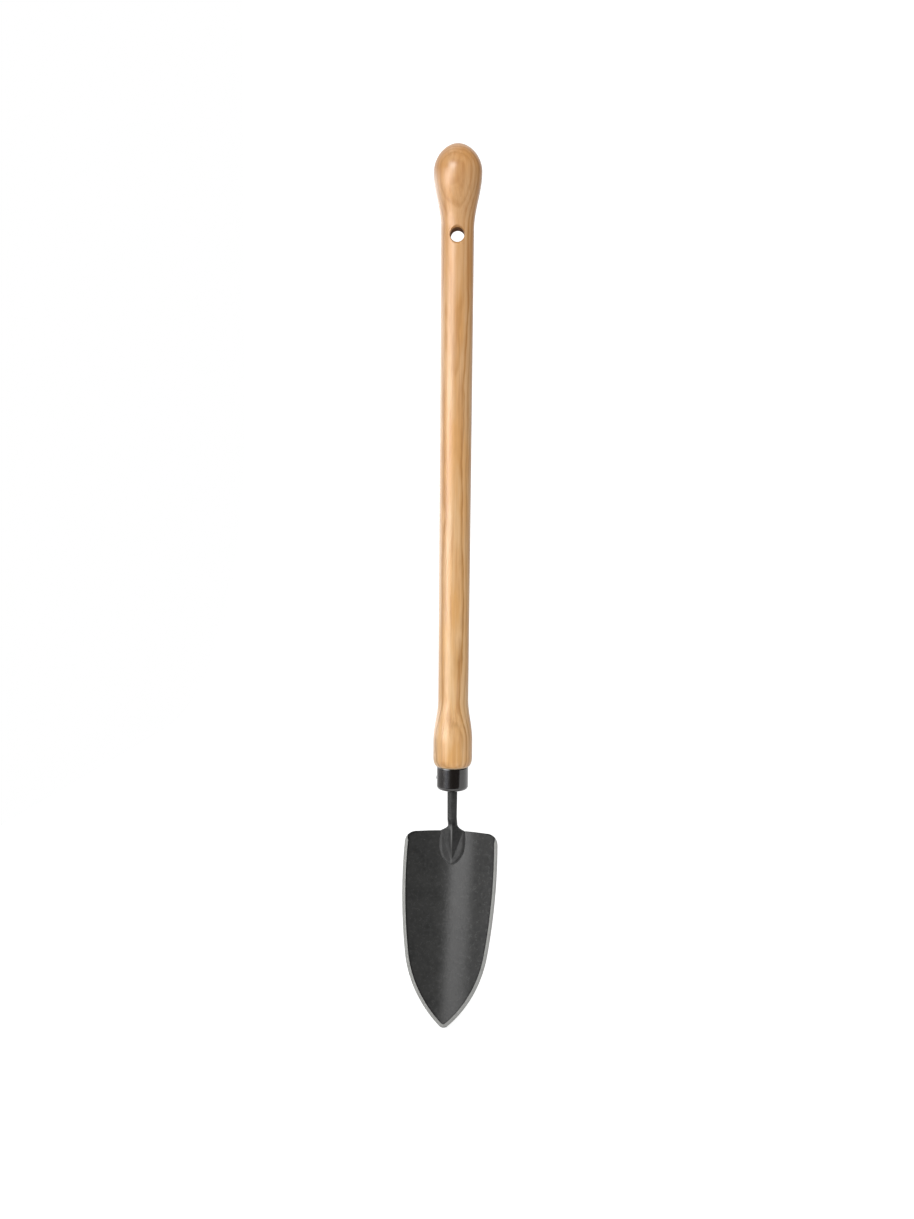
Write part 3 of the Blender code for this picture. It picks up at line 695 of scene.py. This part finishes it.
def make_handle():
    """Turned handle with its hanging hole, made in line with the hole and then turned as it is.

    The varnish has run into the mouths of the hole, and the rest of the bore is unvarnished wood painted dark
    as shade in the hole.
    """
    shaded_bore_rows = BORE_RINGS - BORE_VARNISHED
    parts = [(bulb_sheet(), 0), (hole_sheet(), shaded_bore_rows), (spun(hole_sheet(), np.pi), shaded_bore_rows),
             (shaft_sheet(), 0)]
    sheets = [(spun(grid, HOLE_TURN), True) for grid, shaded_rows in parts]
    slots = []
    for grid, shaded_rows in parts:
        cells = np.zeros((grid.shape[0] - 1, grid.shape[1]))
        # Deeper rows of the bore take the wood painted dark as shade in the hole
        cells[:shaded_rows] = 1
        slots.append(cells.ravel())
    handle = surface("turned_handle", sheets, [varnished_ash(), bored_ash_shaded()], slots=np.concatenate(slots))
    placed(handle, "handle")


# Ferrule and nail


def quarter(centre_r, centre_z, radius, count, outer):
    """Quarter circle from the side round to the underside, as radius and height."""
    angle = np.linspace(0.0, np.pi / 2, count)
    if not outer:
        angle = angle[::-1]
    return centre_r + radius * np.cos(angle), centre_z - radius * np.sin(angle)


def make_ferrule(paint):
    """Drawn cup with a round bottom corner, a hole for the neck and its inner side."""
    rim = RIM_Z - FIT_GAP
    inner = FERRULE_RADIUS - FERRULE_WALL
    hole = NECK_RADIUS + FIT_GAP
    out_r, out_z = quarter(FERRULE_RADIUS - FERRULE_CORNER, FERRULE_END_Z + FERRULE_CORNER,
                           FERRULE_CORNER, 20, True)
    corner = FERRULE_CORNER - FERRULE_WALL
    in_r, in_z = quarter(inner - corner, FERRULE_END_Z + FERRULE_CORNER, corner, 10, False)
    lip = ARRIS / 3
    lip_r, lip_z = quarter(FERRULE_RADIUS - lip, rim - lip, lip, 6, True)
    side = np.linspace(rim - lip, FERRULE_END_Z + FERRULE_CORNER, 24)[1:-1]
    radius = np.concatenate([lip_r[::-1], np.full(side.shape, FERRULE_RADIUS), out_r,
                             [hole + ARRIS / 2, hole, hole], in_r, [inner]])
    hole_z = [FERRULE_END_Z, FERRULE_END_Z + ARRIS / 2, FERRULE_END_Z + FERRULE_WALL]
    height = np.concatenate([2 * (rim - lip) - lip_z[::-1], side, out_z, hole_z, in_z, [rim]])
    grid = turned(radius, height)
    grid = np.concatenate([grid, grid[:1]])
    placed(surface("drawn_ferrule", [(grid, True)], [paint]), "ferrule")


def make_nail(paint):
    """Head domed as a cosine from its rim's share of its height, and a pointed shank, laid along -X."""
    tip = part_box("ferrule_nail")[1].x
    seat = -np.sqrt(FERRULE_RADIUS ** 2 - NAIL_HEAD_RADIUS ** 2)
    angle = np.linspace(0.0, np.pi / 2, 14)
    radius = np.concatenate([NAIL_HEAD_RADIUS * np.sin(angle),
                             [NAIL_HEAD_RADIUS, NAIL_SHANK_RADIUS, NAIL_SHANK_RADIUS, 0.0]])
    out = np.concatenate([NAIL_HEAD_HEIGHT * blend(NAIL_RIM_SHARE, 1.0, np.cos(angle)),
                          [0.0, 0.0, seat - tip + 2 * NAIL_SHANK_RADIUS, seat - tip]])
    rings = turned(radius, out, count=48)
    grid = stack(seat - rings[..., 2], rings[..., 0], NAIL_Z + rings[..., 1])
    placed(surface("nail_head", [(grid, True)], [paint]), "ferrule_nail")


# Blade


def blade_point(x, s, height=0.0):
    """Point at x across and s down the blade, at a height in front of its face.

    The middle line leans forward by an angle that grows evenly with s, and the face
    is an arc of DISH_RADIUS across it: forward = R - sqrt((R - height)^2 - x^2).
    """
    turn = BLADE_CURL / BLADE_LENGTH
    lean = BLADE_LEAN + turn * s
    middle_y = BLADE_SETBACK - (np.cos(BLADE_LEAN) - np.cos(lean)) / turn
    middle_z = BLADE_TOP_Z - (np.sin(lean) - np.sin(BLADE_LEAN)) / turn
    forward = DISH_RADIUS - np.sqrt((DISH_RADIUS - height) ** 2 - x ** 2)
    return stack(x, middle_y - forward * np.cos(lean), middle_z + forward * np.sin(lean))


def arc(centre, radius, start, end, count):
    """Columns x, s, outward x and outward s of an arc, its last point left out."""
    angle = np.linspace(start, end, count, endpoint=False)
    out = np.stack([np.cos(angle), np.sin(angle)])
    return np.concatenate([np.array(centre)[:, None] + radius * out, out])


def blade_outline():
    """Right half of the outline: corner, long side, point and nose, each a tangent arc."""
    side = (BLADE_HALF_WIDTH - SIDE_RADIUS, WIDEST_BELOW_TOP)
    corner_s = TOP_ARCH + CORNER_RADIUS
    reach = SIDE_RADIUS - CORNER_RADIUS
    corner = (side[0] + np.sqrt(reach ** 2 - (corner_s - side[1]) ** 2), corner_s)
    corner_end = np.arctan2(corner[1] - side[1], corner[0] - side[0])
    side_end = np.arcsin((POINT_BELOW_TOP - WIDEST_BELOW_TOP) / SIDE_RADIUS)
    joint_x = side[0] + SIDE_RADIUS * np.cos(side_end)
    nose = (0.0, BLADE_LENGTH - NOSE_RADIUS)
    drop = nose[1] - POINT_BELOW_TOP
    point_radius = (joint_x ** 2 + drop ** 2 - NOSE_RADIUS ** 2) / (
        2 * (joint_x * np.cos(side_end) - drop * np.sin(side_end) - NOSE_RADIUS))
    point = (joint_x - point_radius * np.cos(side_end),
             POINT_BELOW_TOP - point_radius * np.sin(side_end))
    nose_start = np.arctan2(nose[1] - point[1], nose[0] - point[0])
    return np.concatenate([
        arc(corner, CORNER_RADIUS, -np.pi / 2, corner_end, 30),
        arc(side, SIDE_RADIUS, corner_end, side_end, 60),
        arc(point, point_radius, side_end, nose_start, 56),
        arc(nose, NOSE_RADIUS, nose_start, np.pi / 2, 20),
        np.array([[0.0], [BLADE_LENGTH], [0.0], [1.0]]),
    ], axis=1)


def bevel_share(s):
    """0 on the top edge, 1 where the ground edge has its full width."""
    return ease((s - BEVEL_BELOW_TOP) / BEVEL_RUN_IN)


def inset_rows(at_top, at_bevel):
    """Grids of x and s inside the outline, moved in by one amount at the top and one at the bevel."""
    x, s, out_x, out_s = blade_outline()
    width = blend(at_top, at_bevel, bevel_share(s))
    x_end, s_end = x - width * out_x, s - width * out_s
    fade = np.clip(1.0 - (s_end - TOP_ARCH) / WIDEST_BELOW_TOP, 0.0, None)
    share = np.linspace(-1.0, 1.0, BLADE_COLUMNS + 1)
    across = x_end[:, None] * share
    return across, s_end[:, None] - (TOP_ARCH * fade)[:, None] * (1.0 - share ** 2)


def border(grid):
    """Loop round a grid: top row, right ends, tip, left ends."""
    return np.concatenate([grid[0], grid[1:-1, -1], grid[-1, :1], grid[1:-1, 0][::-1]])


def border_share():
    """Share of the full bevel at each point of the loop round the blade."""
    share = bevel_share(blade_outline()[1])[:, None]
    return border(np.repeat(share, BLADE_COLUMNS + 1, axis=1))


def rim_loop(inset, depth):
    """Loop of points inset from the outline and sunk below the front face, each as (top, bevel)."""
    x, s = inset_rows(*inset)
    return blade_point(border(x), border(s), -blend(*depth, border_share()))


def make_blade():
    """Dished plate with a bevel ground in two facets along its front edge.

    The lines of the rim, from the front face to the back, are each an inset and a depth
    as (top, bevel), and the strips between them have their own finishes.
    """
    ground = BLADE_THICKNESS - EDGE_THICKNESS
    back_round = ARRIS / 2
    lines = [
        ((ARRIS, BEVEL_WIDTH), (0.0, 0.0)),
        ((ARRIS / 2, HONED_WIDTH), (ARRIS / 3, ground - HONED_DEPTH)),
        ((0.0, 0.0), (ARRIS, ground)),
        ((0.0, 0.0), (BLADE_THICKNESS - back_round, BLADE_THICKNESS - back_round)),
        ((back_round, back_round), (BLADE_THICKNESS, BLADE_THICKNESS)),
    ]
    loops, strip_of = [], []
    for number, (here, there) in enumerate(zip(lines, lines[1:])):
        steps = 4 if number < 2 else 2
        for share in np.arange(steps) / steps:
            inset = blend(np.array(here[0]), np.array(there[0]), share)
            depth = blend(np.array(here[1]), np.array(there[1]), share)
            loops.append(rim_loop(inset, depth))
            strip_of.append(number)
    loops.append(rim_loop(*lines[-1]))
    rim = np.stack(loops)
    front_x, front_s = inset_rows(*lines[0][0])
    back_x, back_s = inset_rows(*lines[-1][0])
    front = blade_point(front_x, front_s)
    back = blade_point(back_x, back_s, -BLADE_THICKNESS)
    cells = (front_x.shape[0] - 1) * BLADE_COLUMNS
    strip_slots = np.array([1, 2, 2, 0])[strip_of]
    ground_cells = np.where(border_share() > GROUND_FROM, strip_slots[:, None], 0)
    slots = np.concatenate([np.zeros(cells), ground_cells.ravel(), np.zeros(cells)])
    outline_x, outline_s = blade_outline()[:2]
    edge_distance = np.sqrt((np.abs(front_x)[..., None] - outline_x) ** 2
                            + (front_s[..., None] - outline_s) ** 2).min(-1)
    edge_distance += (1.0 - bevel_share(front_s)) * (BEVEL_WIDTH - ARRIS)
    rim_distance = np.concatenate([edge_distance.ravel(), np.full(rim[..., 0].size, BEVEL_WIDTH),
                                   np.full(back_x.size, FAR_FROM_RIM)])
    finishes = [coated_steel(), ground_steel("ground_bevel", 0.60), ground_steel("honed_edge", 0.52)]
    blade = surface("dished_blade", [(front, False), (rim, True), (back, False)], finishes,
                    sharp=14.0, slots=slots, rim_distance=rim_distance)
    placed(blade, "blade")


# Tang


def spike_rings(grow):
    """Rings of the spike, from a square tip to a round root: r / max(|cos|, |sin|) is the square.

    grow is the gap that the bore in the handle leaves round the spike and over its tip.
    """
    square_z = blend(SPIKE_TOP_Z, FERRULE_END_Z, SPIKE_SQUARE_SHARE)
    round_z = blend(SPIKE_TOP_Z, FERRULE_END_Z, SPIKE_ROUND_SHARE)
    z = np.concatenate([np.linspace(SPIKE_TOP_Z, square_z, 8), np.linspace(square_z, round_z, 10)[1:]])
    squareness = np.clip((z - round_z) / (square_z - round_z), 0.0, 1.0)[:, None]
    share = (SPIKE_TOP_Z - z) / (SPIKE_TOP_Z - round_z)
    radius = blend(SPIKE_TIP_RADIUS, NECK_RADIUS, share)[:, None] + grow
    angle = -np.pi / 2 + 2 * np.pi * np.arange(AROUND) / AROUND
    to_square = 1.0 / np.maximum(np.abs(np.cos(angle)), np.abs(np.sin(angle)))
    radius = radius * blend(1.0, to_square, squareness)
    heights = z + np.where(z == SPIKE_TOP_Z, grow, 0.0)
    return stack(radius * np.sin(angle), -radius * np.cos(angle), heights[:, None])


def neck_radius(z):
    """The neck tapers evenly from the ferrule to the blade."""
    share = np.clip((FERRULE_END_Z - z) / (FERRULE_END_Z - BLADE_TOP_Z), 0.0, 1.0)
    return blend(NECK_RADIUS, NECK_END_RADIUS, share)


def foot_half_width(s):
    """Leaf outline: straight sides, then half width * (1 - t^power)^root to a blunt point."""
    t = np.clip((s - FOOT_STRAIGHT) / (FOOT_LENGTH - FOOT_STRAIGHT), 0.0, 1.0)
    return FOOT_HALF_WIDTH * (1.0 - t ** FOOT_POWER) ** FOOT_ROOT


def crest_height(s):
    """Height of the ridge over the blade, where the neck's front line runs straight down."""
    lean = BLADE_LEAN + BLADE_CURL * s / BLADE_LENGTH
    front = blade_point(0.0 * s, s)[..., 1] + NECK_END_RADIUS
    return np.maximum(front / np.cos(lean), FOOT_EDGE + FOOT_CROWN)


def foot_section(s, q):
    """Height over the blade at share q (-1 to 1) of the foot's half width.

    A pad of two heights with round shoulders, and a ridge whose flanks fall straight
    from the crest to the pad with a slight hollow.
    """
    half = foot_half_width(np.maximum(s, 0.0))
    pad = FOOT_EDGE + FOOT_CROWN * (1.0 - np.abs(q) ** PAD_POWER)
    crown = FOOT_EDGE + FOOT_CROWN
    crest = crest_height(s)
    share = (crest - crown) / (crest_height(np.zeros(1)) - crown)
    base = np.minimum(RIDGE_HALF_WIDTH * share + RIDGE_CREST, RIDGE_LIMIT * half)
    away = np.clip(np.abs(q) * half / base, 0.0, 1.0)
    flank = (1.0 - away) * (1.0 - RIDGE_HOLLOW * 4 * away * (1.0 - away))
    return pad + (crest - crown) * flank


def foot_loop(s):
    """Closed loops of the foot at s: x and height, over the front and back underneath."""
    q = np.sin(np.linspace(-np.pi / 2, np.pi / 2, OVER_FOOT))
    q = blend(np.linspace(-1.0, 1.0, OVER_FOOT), q, 0.5)
    half = foot_half_width(np.maximum(s, 0.0))[:, None]
    under = np.linspace(1.0, -1.0, AROUND - OVER_FOOT + 2)[1:-1]
    x = half * np.concatenate([q, under])
    top = foot_section(s[:, None], q)
    return x, np.concatenate([top, np.full((len(s), under.size), FIT_GAP)], axis=1)


def neck_loop(radius):
    """Circle whose points are spaced like the foot's loop, so that the two can be mixed."""
    front = np.linspace(np.pi, 2 * np.pi, OVER_FOOT)
    back = np.linspace(0.0, np.pi, AROUND - OVER_FOOT + 2)[1:-1]
    angle = np.concatenate([front, back])
    return radius[:, None] * np.cos(angle), radius[:, None] * np.sin(angle)


def rubbed_share(s):
    """Wear and painted highlight on the foot: exp(-(distance / width)^2) from the crest and, weaker, from the
    rim.

    Along the crest it fades out up the neck, and loses CREST_FADE_SHARE down the foot.
    """
    half = foot_half_width(np.maximum(s, 0.0))[:, None]
    distance = np.abs(foot_loop(s)[0][:, :OVER_FOOT])
    fade = ease(1.0 + s / CREST_FADE_UP) * (1.0 - CREST_FADE_SHARE * ease(s / CREST_FADE_DOWN))
    crest = fade[:, None] * np.exp(-(distance / CREST_WEAR_SHEEN) ** 2)
    rim = RIM_WEAR_SHEEN_SHARE * (s > 0.0)[:, None] * np.exp(-((half - distance) / RIM_WEAR_SHEEN) ** 2)
    return np.concatenate([crest + rim, np.zeros((len(s), AROUND - OVER_FOOT))], axis=1)


def flare_rings(rise):
    """Rings from the round neck to the foot at the blade's top edge.

    The width spreads as (1 - rise / fillet)^power while the front goes from round to
    ridged and the back, which is flat before it meets the weld, from round to flat.
    """
    centre = blade_point(0.0 * rise, -rise)
    radius = neck_radius(centre[:, 2])
    spread = np.clip(1.0 - rise / FOOT_FILLET, 0.0, 1.0) ** FILLET_POWER
    narrowing = blend(radius, FOOT_HALF_WIDTH, spread) / FOOT_HALF_WIDTH
    x, height = foot_loop(-rise)
    foot = blade_point(x * narrowing[:, None], -rise[:, None], height)
    neck_x, neck_y = neck_loop(radius)
    neck = stack(neck_x, neck_y, centre[:, 2:3])
    ridged = 1.0 - ease(rise / FORGED_RUN)
    flat = 1.0 - ease((rise - BACK_WELD_LEG - FIT_GAP) / FORGED_RUN)
    share = np.where(np.arange(AROUND) < OVER_FOOT, ridged[:, None], flat[:, None])
    return blend(neck, foot, share[..., None])


def make_tang(steel):
    """Spike, round neck and leaf-shaped foot in one forging.

    Rows crowd towards the foot's point as the sine of a turn that stops just short of it.
    """
    spike = spike_rings(0.0)
    rise = (FORGED_RUN + BACK_WELD_LEG + FIT_GAP) * (1.0 - np.linspace(0.0, 1.0, 80)[:-1]) ** 1.5
    flare = flare_rings(rise)
    z = np.linspace(FERRULE_END_Z, flare[0, 0, 2], 24)[1:-1]
    neck_x, neck_y = neck_loop(neck_radius(z))
    neck = stack(neck_x, neck_y, z[:, None])
    root_x, root_y = neck_loop(np.array([NECK_RADIUS]))
    root = stack(root_x, root_y, FERRULE_END_Z + FIT_GAP)
    t = np.sin(np.linspace(0.0, FOOT_END_TURN, 60))
    s = np.concatenate([np.linspace(0.0, FOOT_STRAIGHT, 24)[:-1], blend(FOOT_STRAIGHT, FOOT_LENGTH, t)])
    x, height = foot_loop(s)
    foot = blade_point(x, s[:, None], height)
    end = np.repeat(foot[-1:].mean(axis=1, keepdims=True), AROUND, axis=1)
    start = np.repeat(spike[:1].mean(axis=1, keepdims=True), AROUND, axis=1)
    grid = np.concatenate([start, spike, root, neck, flare, foot, end])
    rubbed = np.zeros(grid.shape[:2])
    # Wear and painted highlight along the crest and the foot's rim
    rubbed[-len(s) - 1 - len(rise):-1] = rubbed_share(np.concatenate([-rise, s]))
    placed(surface("forged_tang", [(grid, True)], [steel], sharp=24.0, rubbed=rubbed), "tang")


# Welds


def bead_loop(leg_out, leg_up, count=24):
    """Fillet of weld in a corner: two legs, and a superellipse between them, as out and up."""
    angle = np.linspace(0.0, np.pi / 2, count)
    out, up = np.cos(angle), np.sin(angle)
    reach = (out ** WELD_POWER + up ** WELD_POWER) ** (-1.0 / WELD_POWER)
    out = leg_out[:, None] * np.append(out * reach, 0.0)
    up = leg_up[:, None] * np.append(up * reach, 0.0)
    return out, up


def closed_bead(rings):
    """Grid of a bead with its two ends drawn to points."""
    first = np.repeat(rings[:1].mean(axis=1, keepdims=True), rings.shape[1], axis=1)
    last = np.repeat(rings[-1:].mean(axis=1, keepdims=True), rings.shape[1], axis=1)
    return np.concatenate([first, rings, last])


def side_weld(side):
    """Bead along one side of the leaf to its point, rippled every WELD_RIPPLE and thin at its top."""
    share = np.linspace(0.0, 1.0, 260)
    turn = WELD_END_TURN * np.clip((share - WELD_STRAIGHT_SHARE) / (1.0 - WELD_STRAIGHT_SHARE), 0.0, None)
    s = blend(FOOT_EDGE, FOOT_STRAIGHT, np.minimum(share / WELD_STRAIGHT_SHARE, 1.0))
    s = s + (FOOT_LENGTH - FOOT_STRAIGHT) * np.sin(turn)
    step = 0.02 * MM
    slope = (foot_half_width(s + step) - foot_half_width(s - step)) / (2 * step)
    length = np.hypot(1.0, slope)
    out_x, out_s = (1.0 / length)[:, None], (-slope / length)[:, None]
    x = foot_half_width(s)
    travelled = np.append(0.0, np.cumsum(np.hypot(np.diff(x), np.diff(s))))
    ripple = 1.0 - RIPPLE_SHARE * np.abs(np.sin(np.pi * travelled / WELD_RIPPLE + side))
    leg = WELD_LEG * blend(WELD_TOP_SHARE, 1.0, ease(4 * share)) * ripple
    rise = WELD_RISE_SHARE * leg
    out, up = bead_loop(leg + FIT_GAP + WELD_BITE, rise + FIT_GAP + WELD_BITE)
    reach = out - WELD_BITE
    return blade_point(side * (x[:, None] + reach * out_x), s[:, None] + reach * out_s, up - WELD_BITE)


def back_weld():
    """Bead in the corner between the back of the tang and the blade's top edge."""
    share = np.linspace(-1.0, 1.0, 120)
    x = BACK_WELD_LENGTH / 2 * share
    ripple = 1.0 - BACK_RIPPLE_SHARE * np.abs(np.sin(np.pi * x / WELD_RIPPLE))
    leg = BACK_WELD_LEG * np.sqrt(1.0 - BACK_WELD_TAPER * share ** 2) * ripple
    out, up = bead_loop(leg + FIT_GAP + WELD_BITE, leg + FIT_GAP + WELD_BITE)
    return blade_point(x[:, None], WELD_BITE - up, FIT_GAP + WELD_BITE - out)


def make_welds(steel):
    """The three beads that join the foot to the blade."""
    for name, node, rings in (("weld_bead_left", "weld_left", side_weld(-1.0)),
                              ("weld_bead_right", "weld_right", side_weld(1.0)),
                              ("weld_bead_back", "weld_back", back_weld())):
        bead = surface(name, [(closed_bead(rings), True)], [steel], sharp=50.0)
        placed(bead, node)


# Studio


def seen_rays(tree):
    """Two shares, both 0 for what lights a matt surface: seen by the camera, and in or through a gloss."""
    path = tree.nodes.new("ShaderNodeLightPath")
    gloss = maths(tree, "ADD", path.outputs["Is Glossy Ray"], path.outputs["Is Transmission Ray"])
    return path.outputs["Is Camera Ray"], maths(tree, "MINIMUM", gloss, 1.0)


def make_floor():
    """White floor that curves up into a backdrop: flat, a quarter circle, then a wall."""
    low = solids_box[0].z - FLOOR_DROP
    angle = np.linspace(0.0, np.pi / 2, 24)
    bend_y = FLOOR_BACK + BACKDROP_BEND * np.sin(angle)
    bend_z = low + BACKDROP_BEND * (1.0 - np.cos(angle))
    y = np.concatenate([[FLOOR_FRONT], bend_y, [FLOOR_BACK + BACKDROP_BEND]])
    z = np.concatenate([[low], bend_z, [low + BACKDROP_HEIGHT]])
    finish, tree, shader = new_material("studio_white")
    shader.inputs["Base Color"].default_value = FLOOR_TONE
    shader.inputs["Roughness"].default_value = 1.0
    shader.inputs["Specular IOR Level"].default_value = 0.0
    camera, gloss = seen_rays(tree)
    in_gloss = maths(tree, "MULTIPLY", gloss, FLOOR_GLOW_IN_GLOSS)
    strength = maths(tree, "MULTIPLY_ADD", camera, FLOOR_GLOW, in_gloss)
    glow = add(tree, "ShaderNodeEmission", {"Strength": strength})
    both = add(tree, "ShaderNodeAddShader", {0: shader.outputs[0], 1: glow})
    plug(tree, tree.nodes["Material Output"].inputs["Surface"], both)
    grid = stack(np.array(FLOOR_SIDES), y[:, None], z[:, None])
    floor = surface("studio_floor", [(grid, False)], [finish])
    floor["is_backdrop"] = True


def turn_ramp(tree, turn, stops):
    """Ramp over a turn in radians, with its stops in degrees."""
    return ramp(tree, maths(tree, "MULTIPLY_ADD", turn, 0.5 / np.pi, 0.5),
                [(degrees / 360.0 + 0.5, tone) for degrees, tone in stops])


def make_world():
    """Soft light for matt surfaces, and for gloss a white room that is dark round the camera.

    The compass turn of a direction is atan2(x, -y), and its height is asin(z). The camera
    itself sees plain white.
    """
    world = bpy.data.worlds.new("studio_light")
    bpy.context.scene.world = world
    world.use_nodes = True
    tree = world.node_tree
    way = add(tree, "ShaderNodeTexCoord", {}, output="Generated")
    x, y, z = (add(tree, "ShaderNodeSeparateXYZ", {0: way}, output=part) for part in "XYZ")
    compass = maths(tree, "ARCTAN2", x, maths(tree, "MULTIPLY", y, -1.0))
    height = maths(tree, "ARCSINE", z)
    below, above = turn_ramp(tree, compass, ROOM_BELOW), turn_ramp(tree, compass, ROOM_ABOVE)
    room = mixed(tree, turn_ramp(tree, height, EYE_LEVEL), below, above)
    window_high = turn_ramp(tree, height, WINDOW_HEIGHTS)
    window = maths(tree, "MULTIPLY", turn_ramp(tree, compass, WINDOW), window_high)
    room = mixed(tree, 1.0, room, maths(tree, "MULTIPLY", window, WINDOW_GLOW), "ADD")
    camera, gloss = seen_rays(tree)
    light = mixed(tree, gloss, turn_ramp(tree, compass, AMBIENT), room)
    plug(tree, tree.nodes["Background"].inputs["Color"], mixed(tree, camera, light, (1.0, 1.0, 1.0)))


def area_light(name, azimuth, elevation, distance, size, radiance):
    """Soft box of (width, height) aimed at the middle of the tool: power = pi radiance width height."""
    lamp = bpy.data.lights.new(name, "AREA")
    lamp.shape = "RECTANGLE"
    lamp.size, lamp.size_y = size
    lamp.energy = np.pi * radiance * size[0] * size[1]
    light = bpy.data.objects.new(name, lamp)
    bpy.context.collection.objects.link(light)
    a, e = np.radians(azimuth), np.radians(elevation)
    back = Vector((np.sin(a) * np.cos(e), -np.cos(a) * np.cos(e), np.sin(e)))
    middle = (solids_box[0] + solids_box[1]) / 2
    aim = back.to_track_quat("Z", "Y").to_matrix().to_4x4()
    light.matrix_world = Matrix.Translation(middle + back * distance) @ aim


def make_camera():
    """Camera at the photograph's place: turned, pitched down and slightly rolled."""
    sin_a, cos_a = np.sin(CAMERA_AZIMUTH), np.cos(CAMERA_AZIMUTH)
    sin_p, cos_p = np.sin(CAMERA_PITCH), np.cos(CAMERA_PITCH)
    right = Vector((cos_a, sin_a, 0.0))
    up = Vector((-sin_a * sin_p, cos_a * sin_p, cos_p))
    back = right.cross(up)
    place = Vector((CAMERA_DISTANCE * sin_a, -CAMERA_DISTANCE * cos_a, CAMERA_HEIGHT)) + right * CAMERA_ASIDE
    axes = Matrix((right, up, back)).transposed().to_4x4()
    film = bpy.data.cameras.new("photo_camera")
    film.lens = CAMERA_LENS
    film.sensor_width = CAMERA_FILM
    film.clip_start = CAMERA_NEAR
    camera = bpy.data.objects.new("photo_camera", film)
    bpy.context.collection.objects.link(camera)
    camera.matrix_world = Matrix.Translation(place) @ axes @ Matrix.Rotation(CAMERA_ROLL, 4, "Z")
    bpy.context.scene.camera = camera


def save_sizes():
    """Box of the solids and of the visible pieces, worked out and not kept."""
    boxes = {"solids": solids_box, "visible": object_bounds()}
    {name: [list(corner) for corner in box] for name, box in boxes.items()}


make_camera()
make_world()
make_floor()
area_light("key_light", azimuth=-21.0, elevation=25.0, distance=3.0, size=(1.5, 1.2), radiance=9.0)
bpy.context.scene.view_settings.view_transform = "Standard"

make_handle()
make_ferrule(black_gloss("black_gloss_paint", FERRULE_PAINT, roughness=0.13))
make_nail(black_gloss("painted_nail", NAIL_PAINT, roughness=0.24))
make_tang(forged_steel("forged_steel", TANG_STEEL, roughness=0.38))
make_blade()
make_welds(forged_steel("blackened_weld", WELD_STEEL, roughness=0.46))

save_sizes()
